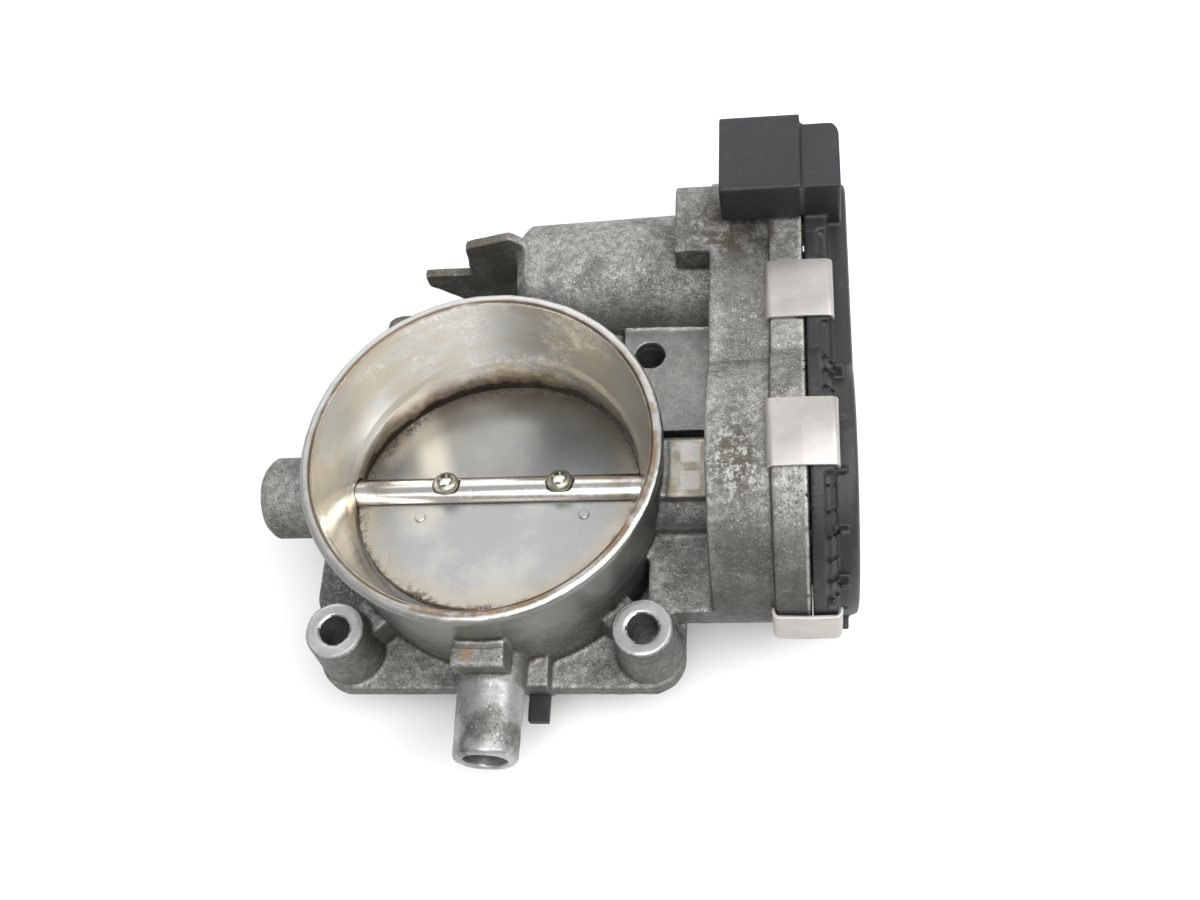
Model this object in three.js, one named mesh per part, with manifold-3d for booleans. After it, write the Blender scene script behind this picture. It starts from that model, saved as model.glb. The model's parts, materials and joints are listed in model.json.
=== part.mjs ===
// Electronic throttle body: a cast housing with a round duct, a butterfly plate on a cross shaft,
// and a motor that turns the shaft through two gear stages behind a clipped-on plastic cover.
// Millimetres. The origin is on the duct's axis in the plane of the mounting flange, +Z runs up the
// duct to the inlet rim, +X runs along the throttle shaft to the gear cover, and the motor lies at +Y.
import * as THREE from "three";
import { mergeVertices } from "three/addons/utils/BufferGeometryUtils.js";
import Module from "manifold-3d";

const wasm = await Module();
wasm.setup();

// ---- driving dimensions ----
const gap = 0.3; // between pieces that touch

// duct
const rimHeight = 42;
const boreRadius = 33.8; // round the plate and below it
const ductFlare = 4.4; // the duct's growth in radius up to the rim
const rimWall = 2.8;
const rimLipHeight = 3.2;
const rimRound = 0.9; // of the rim's outer edge
const rimChamfer = 0.4; // of its inner edge
const ductWall = 4.6; // at the mounting flange
const taperStart = 4; // above the shaft's axis, where the duct begins to widen

// mounting flange
const flangeThickness = 5;
const boltOutsetX = 7.95; // of the bolts beyond the duct's wall, where it crosses the diagonal
const boltOutsetY = 7.15;
const boltHoleRadius = 3.5;
const boltBossRadius = 6.8;
const boltBossTop = 20.6;
const flangeCornerRadius = 8;
const flangeSideBulge = 3;
const webWidth = 8; // of the webs that tie the bolt bosses to the duct
const webDrop = 6; // of their tops below the bosses
const sealWidth = 3;
const sealDepth = 2;

// throttle
const shaftHeight = 19;
const shaftRadius = 4;
const plateThickness = 2;
const plateClearance = 0.4; // between the plate's edge and the duct
const closedTilt = 5; // of the plate from square, in degrees, with the stop tab on its screw
const limpHomeTurn = 8; // from closed to the sprung rest position, in degrees
const plateScrewSpacing = 27;
const plateScrewMiddle = 1.5;
const screwHeadRadius = 3;
const screwHeadHeight = 2.1;
const screwShankRadius = 1.6;
const slotMargin = 1.5; // left whole between the shaft's slot and the duct

// shaft bearings
const bearingWall = 2.3;
const bearingLength = 9;
const sealLength = 2.4;
const plugThickness = 3.2;
const leftBossWall = 3.1;
const rightBossWall = 5.4;
const leftBossLength = 15; // beyond the rim
const ductSideWall = 4.4; // of the duct, where the shaft passes

// gear case
const caseClearance = 9.5; // between the rim and the case
const caseFloor = 4;
const bodyWidth = 13.9; // from the case's left face to its joint flange
const flangeWidth = 7.4;
const drumRoom = 1.35; // round the sector gear's teeth
const bodyWall = 2.2;
const flangeGrow = 2.5; // of the joint flange beyond the case's body
const flangeWall = 3;
const rearCornerRadius = 8;
const jointGap = 0.5;
const gasketWidth = 1.2;
const gasketDepth = 1.1;
const gasketMargin = 0.9; // between the gasket and the joint's outer edge

// gear train: the sector gear's size follows from the motor's distance
const sectorModule = 1;
const toothTip = 0.75; // above the pitch circle, in modules
const toothRoot = 1.15; // below it
const idlerSmallTeeth = 16;
const motorModule = 0.8;
const idlerLargeTeeth = 41;
const pinionTeeth = 13;
const trainRise = 1; // of the motor's axis over the throttle shaft's
const sectorFace = 4;
const pinionFace = 3.4;
const hubWall = 5.7; // of the sector gear's hub
const idlerPinRadius = 2.5;
const stopScrewRadius = 2;
const stopTabHalf = 3;
const springWire = 0.8; // radius
const springTurns = 3.5;
const sectorFrom = THREE.MathUtils.degToRad(-20); // of the toothed arc at rest, from the mesh line
const sectorTo = THREE.MathUtils.degToRad(90);

// motor
const motorLength = 49;
const motorRadius = 13.6;
const canWall = 1.2;
const magnetThickness = 2;
const barrelWall = 2.2;
const barrelDraft = 0.9; // the barrel's growth in radius towards the gear case
const lugReach = 8.2; // of the flat lug on top of the barrel, from the case
const motorShaftRadius = 1.6;
const motorScrewRadius = 1.5;
const motorClearance = 0.4; // at least, between the motor's barrel and the rim
const motorSideRoom = 2.8; // between the motor and the case's rear face
const motorOverRoom = 8.4; // between the motor and the case's top face

// cover
const coverFlangeWidth = 5.2;
const domeInset = 4;
const domeRound = 1.5;
const coverWall = 2;
const boardThickness = 1.2;
const boardRoom = 0.8; // between the shaft's end and the sensor board
const boardMargin = 2.9; // between the board's corners and the cover's wall
const boardCorner = 3;

// clips
const clipLength = 15.2;
const clipThickness = 0.8;
const clipLeg = 2;
const clipBend = 1.2;
const clipSeatDepth = 0.6;

// connector
const socketLength = 18.4; // along X, from its mouth
const socketWidth = 21.4; // along Y
const socketHeight = 11.6;
const socketWall = 1.7;
const socketDepth = 13;
const pinCount = 6; // in two rows
const pinSize = 0.8;
const pinPitch = 5;
const pinRowPitch = 3.6;

// nipple
const nippleRadius = 7.3;
const nippleBore = 5;
const nippleEnd = 62.3;
const nippleHeight = 13;
const nippleOffset = 0.6; // of its axis from the duct's, along X

// ---- places worked out from them ----
const rimInnerRadius = boreRadius + ductFlare;
const rimOuterRadius = rimInnerRadius + rimWall;
const ductOuter = boreRadius + ductWall;
const barrelRadius = motorRadius + gap + barrelWall;
const idlerSmallRadius = (sectorModule * idlerSmallTeeth) / 2;
const idlerLargeRadius = (motorModule * idlerLargeTeeth) / 2;
const pinionRadius = (motorModule * pinionTeeth) / 2;
const idlerReach = idlerSmallRadius + idlerLargeRadius + pinionRadius;
const motorReach = rimOuterRadius + barrelRadius + motorClearance;
const sectorTeeth = Math.ceil((2 * (motorReach - idlerReach)) / sectorModule); // on the full circle
const sectorRadius = (sectorModule * sectorTeeth) / 2;
const trainLength = sectorRadius + idlerReach;
const trainAngle = Math.asin(trainRise / trainLength);
const alongTrain = (distance) => [
  distance * Math.cos(trainAngle),
  shaftHeight + distance * Math.sin(trainAngle),
];
const [idlerY, idlerZ] = alongTrain(sectorRadius + idlerSmallRadius);
const [motorY, motorZ] = alongTrain(trainLength);
const boltX = ductOuter * Math.SQRT1_2 + boltOutsetX;
const boltY = ductOuter * Math.SQRT1_2 + boltOutsetY;
const flangeFront = boltY + flangeCornerRadius + 0.6;
const flangeSide = boltX + flangeCornerRadius;
const caseLeft = rimOuterRadius + caseClearance;
const drumRadius = sectorRadius + toothTip * sectorModule + drumRoom + flangeWall - flangeGrow;
const rearMargin = motorRadius + motorSideRoom;
const rearHalfHeight = motorRadius + motorOverRoom;
const caseRear = motorY + rearMargin;
const caseTop = motorZ + rearHalfHeight;
const cavityLeft = caseLeft + caseFloor;
const flangeLeft = caseLeft + bodyWidth;
const jointX = flangeLeft + flangeWidth;
const coverLeft = jointX + jointGap;
const domeLeft = coverLeft + coverFlangeWidth;
const sectorX = flangeLeft + 0.8; // the gears' left faces, along X
const idlerLargeX = sectorX + sectorFace + 0.9;
const hubRight = sectorX + sectorFace + 6;
const shaftRight = hubRight + 2.8;
const boardX = shaftRight + boardRoom;
const coverRight = boardX + boardThickness + gap + coverWall;
const leftBossEnd = rimOuterRadius + leftBossLength;
const sealSeat = boreRadius + ductSideWall;
const motorLeft = cavityLeft - gap - motorLength;
const barrelLeft = motorLeft - gap - barrelWall;
const clearanceRadius = shaftRadius + gap;
const bearingOuterRadius = clearanceRadius + bearingWall;
const leftBossRadius = bearingOuterRadius + leftBossWall;
const rightBossRadius = bearingOuterRadius + rightBossWall;
const restTilt = THREE.MathUtils.degToRad(closedTilt + limpHomeTurn);
const shaftCentre = [0, shaftHeight]; // as [y, z]
const nippleCentre = [nippleHeight, nippleOffset]; // as [z, x]
const sealOuter = ductOuter + 0.6;
const sealInner = sealOuter - sealWidth;
const sealTab = { left: nippleOffset + 6.6, right: nippleOffset + 11.4, height: 3, front: -flangeFront - 7 };
const motorAxis = [motorY, motorZ];

// ---- geometry helpers ----
const axes = {
  x: new THREE.Matrix4().makeBasis(vec(0, 1, 0), vec(0, 0, 1), vec(1, 0, 0)),
  y: new THREE.Matrix4().makeBasis(vec(0, 0, 1), vec(1, 0, 0), vec(0, 1, 0)),
  z: new THREE.Matrix4(),
};

function vec(x, y, z) {
  return new THREE.Vector3(x, y, z);
}

// A closed three.js geometry as a solid that can be joined and cut.
function solid(geometry) {
  const plain = new THREE.BufferGeometry().setAttribute("position", geometry.getAttribute("position"));
  if (geometry.index) plain.setIndex(geometry.index);
  const merged = mergeVertices(plain, 1e-4);
  const corners = merged.index.array;
  const faces = [];
  for (let i = 0; i < corners.length; i += 3) {
    const [a, b, c] = [corners[i], corners[i + 1], corners[i + 2]];
    if (a !== b && b !== c && c !== a) faces.push(a, b, c);
  }
  return new wasm.Manifold(
    new wasm.Mesh({
      numProp: 3,
      vertProperties: merged.attributes.position.array,
      triVerts: new Uint32Array(faces),
    }),
  );
}

function union(...parts) {
  return parts.reduce((sum, part) => sum.add(part));
}

function cut(body, ...tools) {
  return tools.reduce((rest, tool) => rest.subtract(tool), body);
}

// An outline extruded along an axis, from one place to another. An outline's own two axes are
// (y, z) for x, (z, x) for y and (x, y) for z.
function prism(shape, axis, from, to) {
  const geometry = new THREE.ExtrudeGeometry(shape, { depth: to - from, bevelEnabled: false });
  geometry.translate(0, 0, from);
  return solid(geometry.applyMatrix4(axes[axis]));
}

// A round bar or cone frustum along an axis, centred on the point [u, v] of the other two axes.
function rod(axis, radius, from, to, [u, v] = [0, 0], segments = 24, endRadius = radius) {
  const geometry = new THREE.CylinderGeometry(endRadius, radius, to - from, segments);
  geometry.rotateX(Math.PI / 2);
  geometry.translate(u, v, (from + to) / 2);
  return solid(geometry.applyMatrix4(axes[axis]));
}

function ring(axis, outer, inner, from, to, centre, segments = 24) {
  return cut(
    rod(axis, outer, from, to, centre, segments),
    rod(axis, inner, from - 1, to + 1, centre, segments),
  );
}

function box(x0, x1, y0, y1, z0, z1) {
  const geometry = new THREE.BoxGeometry(x1 - x0, y1 - y0, z1 - z0);
  geometry.translate((x0 + x1) / 2, (y0 + y1) / 2, (z0 + z1) / 2);
  return solid(geometry);
}

// A solid turned about the axis of the duct, from a profile of [radius, height] points that starts
// and ends on that axis.
function turned(profile, segments = 56) {
  const geometry = new THREE.LatheGeometry(
    profile.map(([r, z]) => new THREE.Vector2(r, z)),
    segments,
  );
  return solid(geometry.rotateX(Math.PI / 2));
}

function polygon(points) {
  return new THREE.Shape(points.map(([u, v]) => new THREE.Vector2(u, v)));
}

// Points along an arc about [u, v], angles in degrees.
function arc(u, v, radius, from, to, steps) {
  return Array.from({ length: steps + 1 }, (_, i) => {
    const angle = THREE.MathUtils.degToRad(from + ((to - from) * i) / steps);
    return [u + radius * Math.cos(angle), v + radius * Math.sin(angle)];
  });
}

function roundedRectangle(u0, u1, v0, v1, radius, steps = 4) {
  return polygon([
    ...arc(u1 - radius, v0 + radius, radius, -90, 0, steps),
    ...arc(u1 - radius, v1 - radius, radius, 0, 90, steps),
    ...arc(u0 + radius, v1 - radius, radius, 90, 180, steps),
    ...arc(u0 + radius, v0 + radius, radius, 180, 270, steps),
  ]);
}

// ---- materials and the group that is exported ----
const finishes = {
  castAluminium: { color: 0x8d8f8e, roughness: 0.6, metalness: 0.7 },
  plateAluminium: { color: 0xa9aba8, roughness: 0.45, metalness: 0.8 },
  steel: { color: 0xc4c6c8, roughness: 0.25, metalness: 1 },
  zincSteel: { color: 0xb9b59a, roughness: 0.35, metalness: 0.9 },
  springSteel: { color: 0xcfc6c1, roughness: 0.4, metalness: 0.8 },
  darkSteel: { color: 0x5d6063, roughness: 0.4, metalness: 0.9 },
  blackPlastic: { color: 0x35383d, roughness: 0.6, metalness: 0 },
  gearPlastic: { color: 0xd8d2bf, roughness: 0.55, metalness: 0 },
  rubber: { color: 0x1d1e1d, roughness: 0.9, metalness: 0 },
  copper: { color: 0xb87348, roughness: 0.4, metalness: 1 },
  brass: { color: 0xc9a552, roughness: 0.35, metalness: 1 },
  ferrite: { color: 0x44413f, roughness: 0.8, metalness: 0.1 },
  board: { color: 0x2c5b3b, roughness: 0.5, metalness: 0 },
};

const throttleBody = new THREE.Group();

function addPiece(name, body, finish, parent = throttleBody) {
  const { vertProperties, triVerts, numProp } = body.getMesh();
  const geometry = new THREE.BufferGeometry();
  const points = new Float32Array((vertProperties.length / numProp) * 3);
  for (let i = 0; i * numProp < vertProperties.length; i++) {
    points.set(vertProperties.subarray(i * numProp, i * numProp + 3), i * 3);
  }
  geometry.setAttribute("position", new THREE.BufferAttribute(points, 3));
  geometry.setIndex(new THREE.BufferAttribute(triVerts, 1));
  geometry.computeVertexNormals();
  const mesh = new THREE.Mesh(geometry, new THREE.MeshStandardMaterial(finishes[finish]));
  mesh.name = name;
  parent.add(mesh);
}

// ---- outlines shared by the case, the gasket and the cover ----

// The gear case as it is seen along X: a round drum about the throttle shaft, with a lower box behind
// it for the motor. A positive offset grows it all round.
function caseOutline(offset) {
  const drum = drumRadius + offset;
  const top = caseTop + offset;
  const bottom = motorZ - rearHalfHeight - offset;
  const rear = caseRear + offset;
  const corner = Math.max(rearCornerRadius + offset, 1);
  const drumStart = THREE.MathUtils.radToDeg(Math.asin((top - shaftHeight) / drum));
  const drumEnd = 360 - THREE.MathUtils.radToDeg(Math.asin((shaftHeight - bottom) / drum));
  return polygon([
    ...arc(rear - corner, bottom + corner, corner, -90, 0, 5),
    ...arc(rear - corner, top - corner, corner, 0, 90, 5),
    ...arc(0, shaftHeight, drum, drumStart, drumEnd, 36),
  ]);
}

function caseSlab(offset, from, to) {
  return prism(caseOutline(offset), "x", from, to);
}

// The same, with both its ends rounded off.
function roundedCaseSlab(offset, from, to, round) {
  const geometry = new THREE.ExtrudeGeometry(caseOutline(offset - round), {
    depth: to - from - 2 * round,
    bevelThickness: round,
    bevelSize: round,
    bevelSegments: 2,
  });
  geometry.translate(0, 0, from + round);
  return solid(geometry.applyMatrix4(axes.x));
}

// ---- housing ----

function mountingFlange() {
  const corners = [
    [boltX, boltY],
    [-boltX, boltY],
    [-boltX, -boltY],
    [boltX, -boltY],
  ];
  const plate = prism(
    roundedRectangle(-flangeSide, flangeSide, -flangeFront, flangeFront, flangeCornerRadius, 6),
    "z",
    0,
    flangeThickness,
  );
  const sideBulge = prism(
    roundedRectangle(-flangeSide - flangeSideBulge, 0, -boltY + 10, boltY - 10, 4, 3),
    "z",
    0,
    flangeThickness,
  );
  const pads = corners.map(([x, y]) =>
    rod("z", flangeCornerRadius, 0, boltBossTop, [x, y], 24, boltBossRadius),
  );
  // Each boss is tied to the duct by a low web along the diagonal.
  const webs = corners.map(([x, y]) => {
    const height = boltBossTop - webDrop;
    const length = Math.hypot(x, y) - boreRadius;
    const web = new THREE.BoxGeometry(length, webWidth, height);
    web.translate(boreRadius + length / 2, 0, height / 2);
    web.rotateZ(Math.atan2(y, x));
    return solid(web);
  });
  return union(plate, sideBulge, ...pads, ...webs);
}

// The duct's wall, with a rounded lip round the inlet.
function ductShell() {
  const lipBase = rimHeight - rimLipHeight;
  return turned([
    [0, 0],
    [ductOuter, 0],
    [ductOuter + 0.4, flangeThickness + 4],
    [rimOuterRadius - 1.2, lipBase - 2],
    [rimOuterRadius - 0.3, lipBase],
    [rimOuterRadius, lipBase + 0.8],
    [rimOuterRadius, rimHeight - rimRound],
    [rimOuterRadius - rimRound * 0.3, rimHeight - rimRound * 0.3],
    [rimOuterRadius - rimRound, rimHeight],
    [0, rimHeight],
  ]);
}

function ductSpace() {
  const wideStart = shaftHeight + taperStart;
  return turned([
    [0, -1],
    [boreRadius, -1],
    [boreRadius, wideStart],
    [boreRadius + 0.9, wideStart + 2],
    [rimInnerRadius - 0.6, rimHeight - 4],
    [rimInnerRadius, rimHeight - rimChamfer],
    [rimInnerRadius + rimChamfer + 1, rimHeight + 1],
    [0, rimHeight + 1],
  ]);
}

function motorBarrel() {
  const chamfer = 2.4;
  const small = barrelRadius - barrelDraft;
  return union(
    rod("x", small - chamfer, barrelLeft, barrelLeft + chamfer, motorAxis, 36, small),
    rod("x", small, barrelLeft + chamfer, caseLeft + 1, motorAxis, 36, barrelRadius + gap),
  );
}

// The flat lug and stepped fin cast on the barrel, and the blocks that tie it to the flange.
function barrelLugs() {
  const finY = motorY + 2.4;
  const finHalf = 1.3;
  // The fin's outline, as [height over the motor's axis, distance past the barrel's end].
  const steps = [
    [-8, 6],
    [-8, -15],
    [1, -25.5],
    [5, -25.5],
    [5, -13.5],
    [16, -12.5],
    [19, -1],
    [14, 4],
  ];
  const fin = prism(
    polygon(steps.map(([rise, reach]) => [motorZ + rise, barrelLeft + reach])),
    "y",
    finY - finHalf,
    finY + finHalf,
  );
  const topLug = box(caseLeft - lugReach, caseLeft + 1, motorY - 7, caseRear - 4.5, motorZ, caseTop);
  const saddle = box(barrelLeft + 6, caseLeft + 1, boreRadius + 0.4, motorY - 6, 1.5, shaftHeight + 1);
  const rearBlock = prism(
    roundedRectangle(-boltX + 3.5, barrelLeft + 12, boltY - 6, motorY - 8.7, 3, 3),
    "z",
    0,
    boltBossTop + 2,
  );
  return union(fin, topLug, saddle, rearBlock);
}

// What stands on the flange at its gear-case side: a flat pad, a round skirt and the bearing boss.
function gearSideBlocks() {
  const pad = box(boltX - 6.5, caseLeft + 1, rightBossRadius + 1.5, boltY + 7.6, 0, boltBossTop + 2.3);
  const skirt = rod("x", drumRadius, boltX + 1, caseLeft + 1, shaftCentre, 64).intersect(
    box(boltX, caseLeft + 2, -drumRadius - 1, 0, 0, shaftHeight + 1),
  );
  const boss = rod("x", rightBossRadius, boreRadius, caseLeft + 1, shaftCentre, 32);
  const bossFlat = prism(
    roundedRectangle(rimOuterRadius - 4, caseLeft + 1, -7.6, 6.8, 1.5, 2),
    "z",
    shaftHeight,
    shaftHeight + rightBossRadius,
  );
  return union(pad, skirt, boss, bossFlat);
}

function leftBearingBoss() {
  const chamfer = 2.2;
  const small = leftBossRadius - chamfer;
  return union(
    rod("x", leftBossRadius, -leftBossEnd + chamfer, -boreRadius, shaftCentre, 32),
    rod("x", small, -leftBossEnd, -leftBossEnd + chamfer, shaftCentre, 32, leftBossRadius),
  );
}

function nippleBody() {
  const ductSide = -boreRadius - 1;
  const padFront = -rimOuterRadius - 4.2;
  const padTop = nippleHeight + 14;
  const chamfer = 0.8;
  const end = -nippleEnd;
  const stem = rod("y", nippleRadius, end + chamfer, ductSide, nippleCentre, 32, nippleRadius + 0.4);
  const tip = rod("y", nippleRadius - chamfer, end, end + chamfer, nippleCentre, 32, nippleRadius);
  // The wedge above the nipple, with a flat top.
  const wedge = prism(
    polygon([
      [ductSide, nippleHeight],
      [-rimOuterRadius - 1.5, nippleHeight],
      [padFront, padTop - 4],
      [padFront, padTop],
      [ductSide, padTop],
    ]),
    "x",
    nippleOffset - 6.4,
    nippleOffset + 5.4,
  );
  const sideBlock = box(sealTab.left - 0.6, sealTab.right + 0.6, -flangeFront - 1, ductSide - 1, 1, 10);
  return union(stem, tip, wedge, sideBlock);
}

// The gear case and its joint flange, and the bosses inside it.
function caseShell() {
  const shell = union(
    caseSlab(0, caseLeft, flangeLeft + 0.5),
    caseSlab(flangeGrow, flangeLeft, jointX),
  );
  return cut(
    shell,
    caseSlab(-bodyWall, cavityLeft, flangeLeft + 1),
    caseSlab(flangeGrow - flangeWall, flangeLeft + 0.7, jointX + 1),
    gasketGroove(),
  );
}

const gasketOutside = flangeGrow - gasketMargin;

function gasketGroove() {
  return cut(
    caseSlab(gasketOutside + gap, jointX - gasketDepth, jointX + 1),
    caseSlab(gasketOutside - gasketWidth - gap, jointX - gasketDepth - 1, jointX + 2),
  );
}

const stopRadius = sectorRadius - 7; // of the stop screw below the throttle shaft
const stopX = cavityLeft + 6;
const stopZ = shaftHeight - stopRadius;
const stopBlock = { front: 8, rear: 17, half: stopScrewRadius + 2 };
const idlerBossRadius = idlerPinRadius + 3.5;
const idlerBossRight = cavityLeft + 3;
const springBossRight = cavityLeft + 2;

function caseBosses() {
  const { front, rear, half } = stopBlock;
  const left = cavityLeft - 1;
  return union(
    rod("x", idlerBossRadius, left, idlerBossRight, [idlerY, idlerZ], 24),
    rod("x", bearingOuterRadius + 2, left, springBossRight, shaftCentre, 28),
    box(left, stopX + half - 0.4, front, rear, stopZ - half, stopZ + half),
  );
}

// Clips sit square to the case's outline, at a distance along an outward normal from a point [y, z].
const clipReach = drumRadius + flangeGrow;
const boxReach = rearHalfHeight + flangeGrow;
const boxClipY = motorY - 20.5; // of the clips above and below the box behind the drum
const clipPlaces = [
  { name: "top_rear", y: boxClipY, z: motorZ, angle: 90, reach: boxReach },
  { name: "top_front", y: 0, z: shaftHeight, angle: 96, reach: clipReach },
  { name: "front", y: 0, z: shaftHeight, angle: 184, reach: clipReach },
  { name: "bottom_front", y: 0, z: shaftHeight, angle: 264, reach: clipReach },
  { name: "bottom_rear", y: boxClipY, z: motorZ, angle: -90, reach: boxReach },
  { name: "rear", y: motorY, z: motorZ - 6, angle: 0, reach: rearMargin + flangeGrow },
];

// Turns a solid made at the origin, with its outward normal along +Y, to a clip's place.
function atClip(body, { y, z, angle }) {
  return body.rotate([angle, 0, 0]).translate([0, y, z]);
}

function clipSeats() {
  return clipPlaces.map((place) =>
    atClip(
      box(flangeLeft - 2, domeLeft + 1, place.reach - clipSeatDepth, place.reach + 4,
        -clipLength / 2 - gap, clipLength / 2 + gap),
      place,
    ),
  );
}

function shaftPassages() {
  return [
    rod("x", clearanceRadius, -sealSeat - 1, sealSeat + 1, shaftCentre, 24),
    rod("x", bearingOuterRadius, -leftBossEnd - 1, -sealSeat, shaftCentre, 28),
    rod("x", bearingOuterRadius, sealSeat, springBossRight + 1, shaftCentre, 28),
  ];
}

const motorScrewOffset = motorRadius + 2.8;
const motorScrewPlaces = [-1, 1].map((side) => [motorY, motorZ + side * motorScrewOffset]);
const idlerPinLeft = caseLeft + 1.5;

function motorPassages() {
  const screwHoles = motorScrewPlaces.map((place) =>
    rod("x", motorScrewRadius + gap, caseLeft + 0.7, cavityLeft + 1, place, 12),
  );
  return [
    rod("x", motorRadius + gap, motorLeft - gap, cavityLeft + 1, motorAxis, 36),
    rod("x", idlerPinRadius + gap, idlerPinLeft - gap, idlerBossRight + 1, [idlerY, idlerZ], 20),
    rod("y", stopScrewRadius + gap, stopBlock.front - 1, stopBlock.rear + 1, [stopZ, stopX], 16),
    ...screwHoles,
  ];
}

function sealPassages() {
  const { left, right, height } = sealTab;
  return [
    ring("z", sealOuter, sealInner, -1, sealDepth, [0, 0], 56),
    box(left - gap, right + gap, -flangeFront - 3, -sealInner - 1, -1, height + gap),
  ];
}

function housing() {
  const casting = union(
    mountingFlange(),
    ductShell(),
    motorBarrel(),
    barrelLugs(),
    gearSideBlocks(),
    leftBearingBoss(),
    nippleBody(),
  );
  // Nothing cast outside the case reaches into its hollow.
  const outside = cut(casting, caseSlab(-bodyWall, cavityLeft, jointX + 1));
  const boltHoles = [-1, 1].flatMap((sx) =>
    [-1, 1].map((sy) => rod("z", boltHoleRadius, -1, boltBossTop + 4, [sx * boltX, sy * boltY], 20)),
  );
  return cut(
    union(outside, caseShell(), caseBosses()),
    ductSpace(),
    rod("y", nippleBore, -nippleEnd - 1, -boreRadius + 2, nippleCentre, 24),
    ...boltHoles,
    ...shaftPassages(),
    ...motorPassages(),
    ...clipSeats(),
    ...sealPassages(),
  );
}

addPiece("housing", housing(), "castAluminium");

// ---- throttle shaft and plate, made square and then tilted together ----
const throttle = new THREE.Group();
throttle.position.z = shaftHeight;
throttle.rotation.x = -restTilt;
throttleBody.add(throttle);

const screwSeat = shaftRadius - 0.8;
const plugLeft = -leftBossEnd + 0.6;
const shaftLeft = plugLeft + plugThickness + 0.7;
const slotHalf = plateThickness / 2 + gap;
const slotReach = boreRadius - slotMargin;
const screwXs = [-0.5, 0.5].map((side) => plateScrewMiddle + side * plateScrewSpacing);

function throttleShaft() {
  return cut(
    rod("x", shaftRadius, shaftLeft, shaftRight, [0, 0], 28),
    box(-slotReach, slotReach, -shaftRadius - 1, shaftRadius + 1, -slotHalf, slotHalf),
    ...screwXs.map((x) => rod("z", screwShankRadius + gap, -shaftRadius - 1, shaftRadius + 1, [x, 0], 16)),
    ...screwXs.map((x) => rod("z", screwHeadRadius + gap, screwSeat, shaftRadius + 1, [x, 0], 20)),
  );
}

// A plain disc, clear of the duct at every angle, with two small punched dimples.
function throttlePlate() {
  const radius = boreRadius - plateClearance;
  const half = plateThickness / 2;
  const disc = rod("z", radius, -half, half, [0, 0], 56);
  // The shaft is whole at its ends, so the plate's edge is notched round it.
  const [wide, kept] = [radius + 1, slotReach - gap];
  const notches = cut(
    box(-wide, wide, -clearanceRadius, clearanceRadius, -half - 1, half + 1),
    box(-kept, kept, -shaftRadius - 1, shaftRadius + 1, -half - 2, half + 2),
  );
  const dimples = [-17.7, 20.9].map((x) => rod("z", 1.3, half, half + 0.5, [x, -shaftRadius - 3.5], 12));
  return cut(
    union(disc, ...dimples),
    notches,
    ...screwXs.map((x) => rod("z", screwShankRadius + gap, -half - 1, half + 1, [x, 0], 16)),
  );
}

function plateScrew(x) {
  const head = screwSeat + gap;
  const shoulder = head + screwHeadHeight * 0.55;
  const top = head + screwHeadHeight;
  return cut(
    union(
      rod("z", screwShankRadius, -shaftRadius + 0.2, head + 0.1, [x, 0], 16),
      rod("z", screwHeadRadius, head, shoulder, [x, 0], 20),
      rod("z", screwHeadRadius, shoulder, top, [x, 0], 20, screwHeadRadius * 0.72),
    ),
    rod("z", 1.4, head + 0.9, top + 1, [x, 0], 6),
  );
}

addPiece("throttle_shaft", throttleShaft(), "steel", throttle);
addPiece("throttle_plate", throttlePlate(), "plateAluminium", throttle);
screwXs.forEach((x, i) => addPiece(`plate_screw_${i + 1}`, plateScrew(x), "zincSteel", throttle));

// ---- bearings, seals and the plug of the shaft's left end ----
for (const [side, sign] of [["left", -1], ["right", 1]]) {
  const span = (near, length) => (sign < 0 ? [-near - length, -near] : [near, near + length]);
  const outer = bearingOuterRadius - gap;
  const [sealFrom, sealTo] = span(sealSeat + gap, sealLength);
  const [ringFrom, ringTo] = span(sealSeat + sealLength + 2 * gap, bearingLength);
  addPiece(
    `shaft_seal_${side}`,
    ring("x", outer, clearanceRadius, sealFrom, sealTo, shaftCentre),
    "rubber",
  );
  addPiece(
    `needle_bearing_${side}`,
    ring("x", outer, clearanceRadius, ringFrom, ringTo, shaftCentre),
    "darkSteel",
  );
}

addPiece(
  "bearing_plug",
  cut(
    rod("x", bearingOuterRadius - gap, plugLeft, plugLeft + plugThickness, shaftCentre, 28),
    rod("x", bearingOuterRadius - 1.6, plugLeft - 1, plugLeft + plugThickness - 1.2, shaftCentre, 28),
  ),
  "steel",
);

// ---- gears ----

// The outline of a spur gear's teeth, from one tooth to another; phase is the first tooth's angle.
function toothOutline(teeth, module, [y, z], phase, count = teeth) {
  const pitch = (2 * Math.PI) / teeth;
  const root = (module * teeth) / 2 - toothRoot * module;
  const tip = (module * teeth) / 2 + toothTip * module;
  const flanks = [
    [-0.27, root],
    [-0.1, tip],
    [0.1, tip],
    [0.27, root],
  ];
  const points = [];
  for (let tooth = 0; tooth < count; tooth++) {
    for (const [share, radius] of flanks) {
      const angle = phase + (tooth + share) * pitch;
      points.push([y + radius * Math.cos(angle), z + radius * Math.sin(angle)]);
    }
  }
  return points;
}

const sectorPitch = (2 * Math.PI) / sectorTeeth;
const sectorFirst = Math.round(sectorFrom / sectorPitch);
const sectorLast = Math.round(sectorTo / sectorPitch);
const hubRadius = clearanceRadius + hubWall;
const closedTabAngle = -93; // of the stop tab against its screw, in degrees from +Y
const tabReach = [stopRadius - 4, stopRadius + 4];

// A bar that stands out from the throttle shaft at the stop tab's angle.
function stopBar(x0, x1, from, to) {
  return box(x0, x1, from, to, -stopTabHalf, stopTabHalf)
    .rotate([closedTabAngle - limpHomeTurn, 0, 0])
    .translate([0, 0, shaftHeight]);
}

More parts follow.
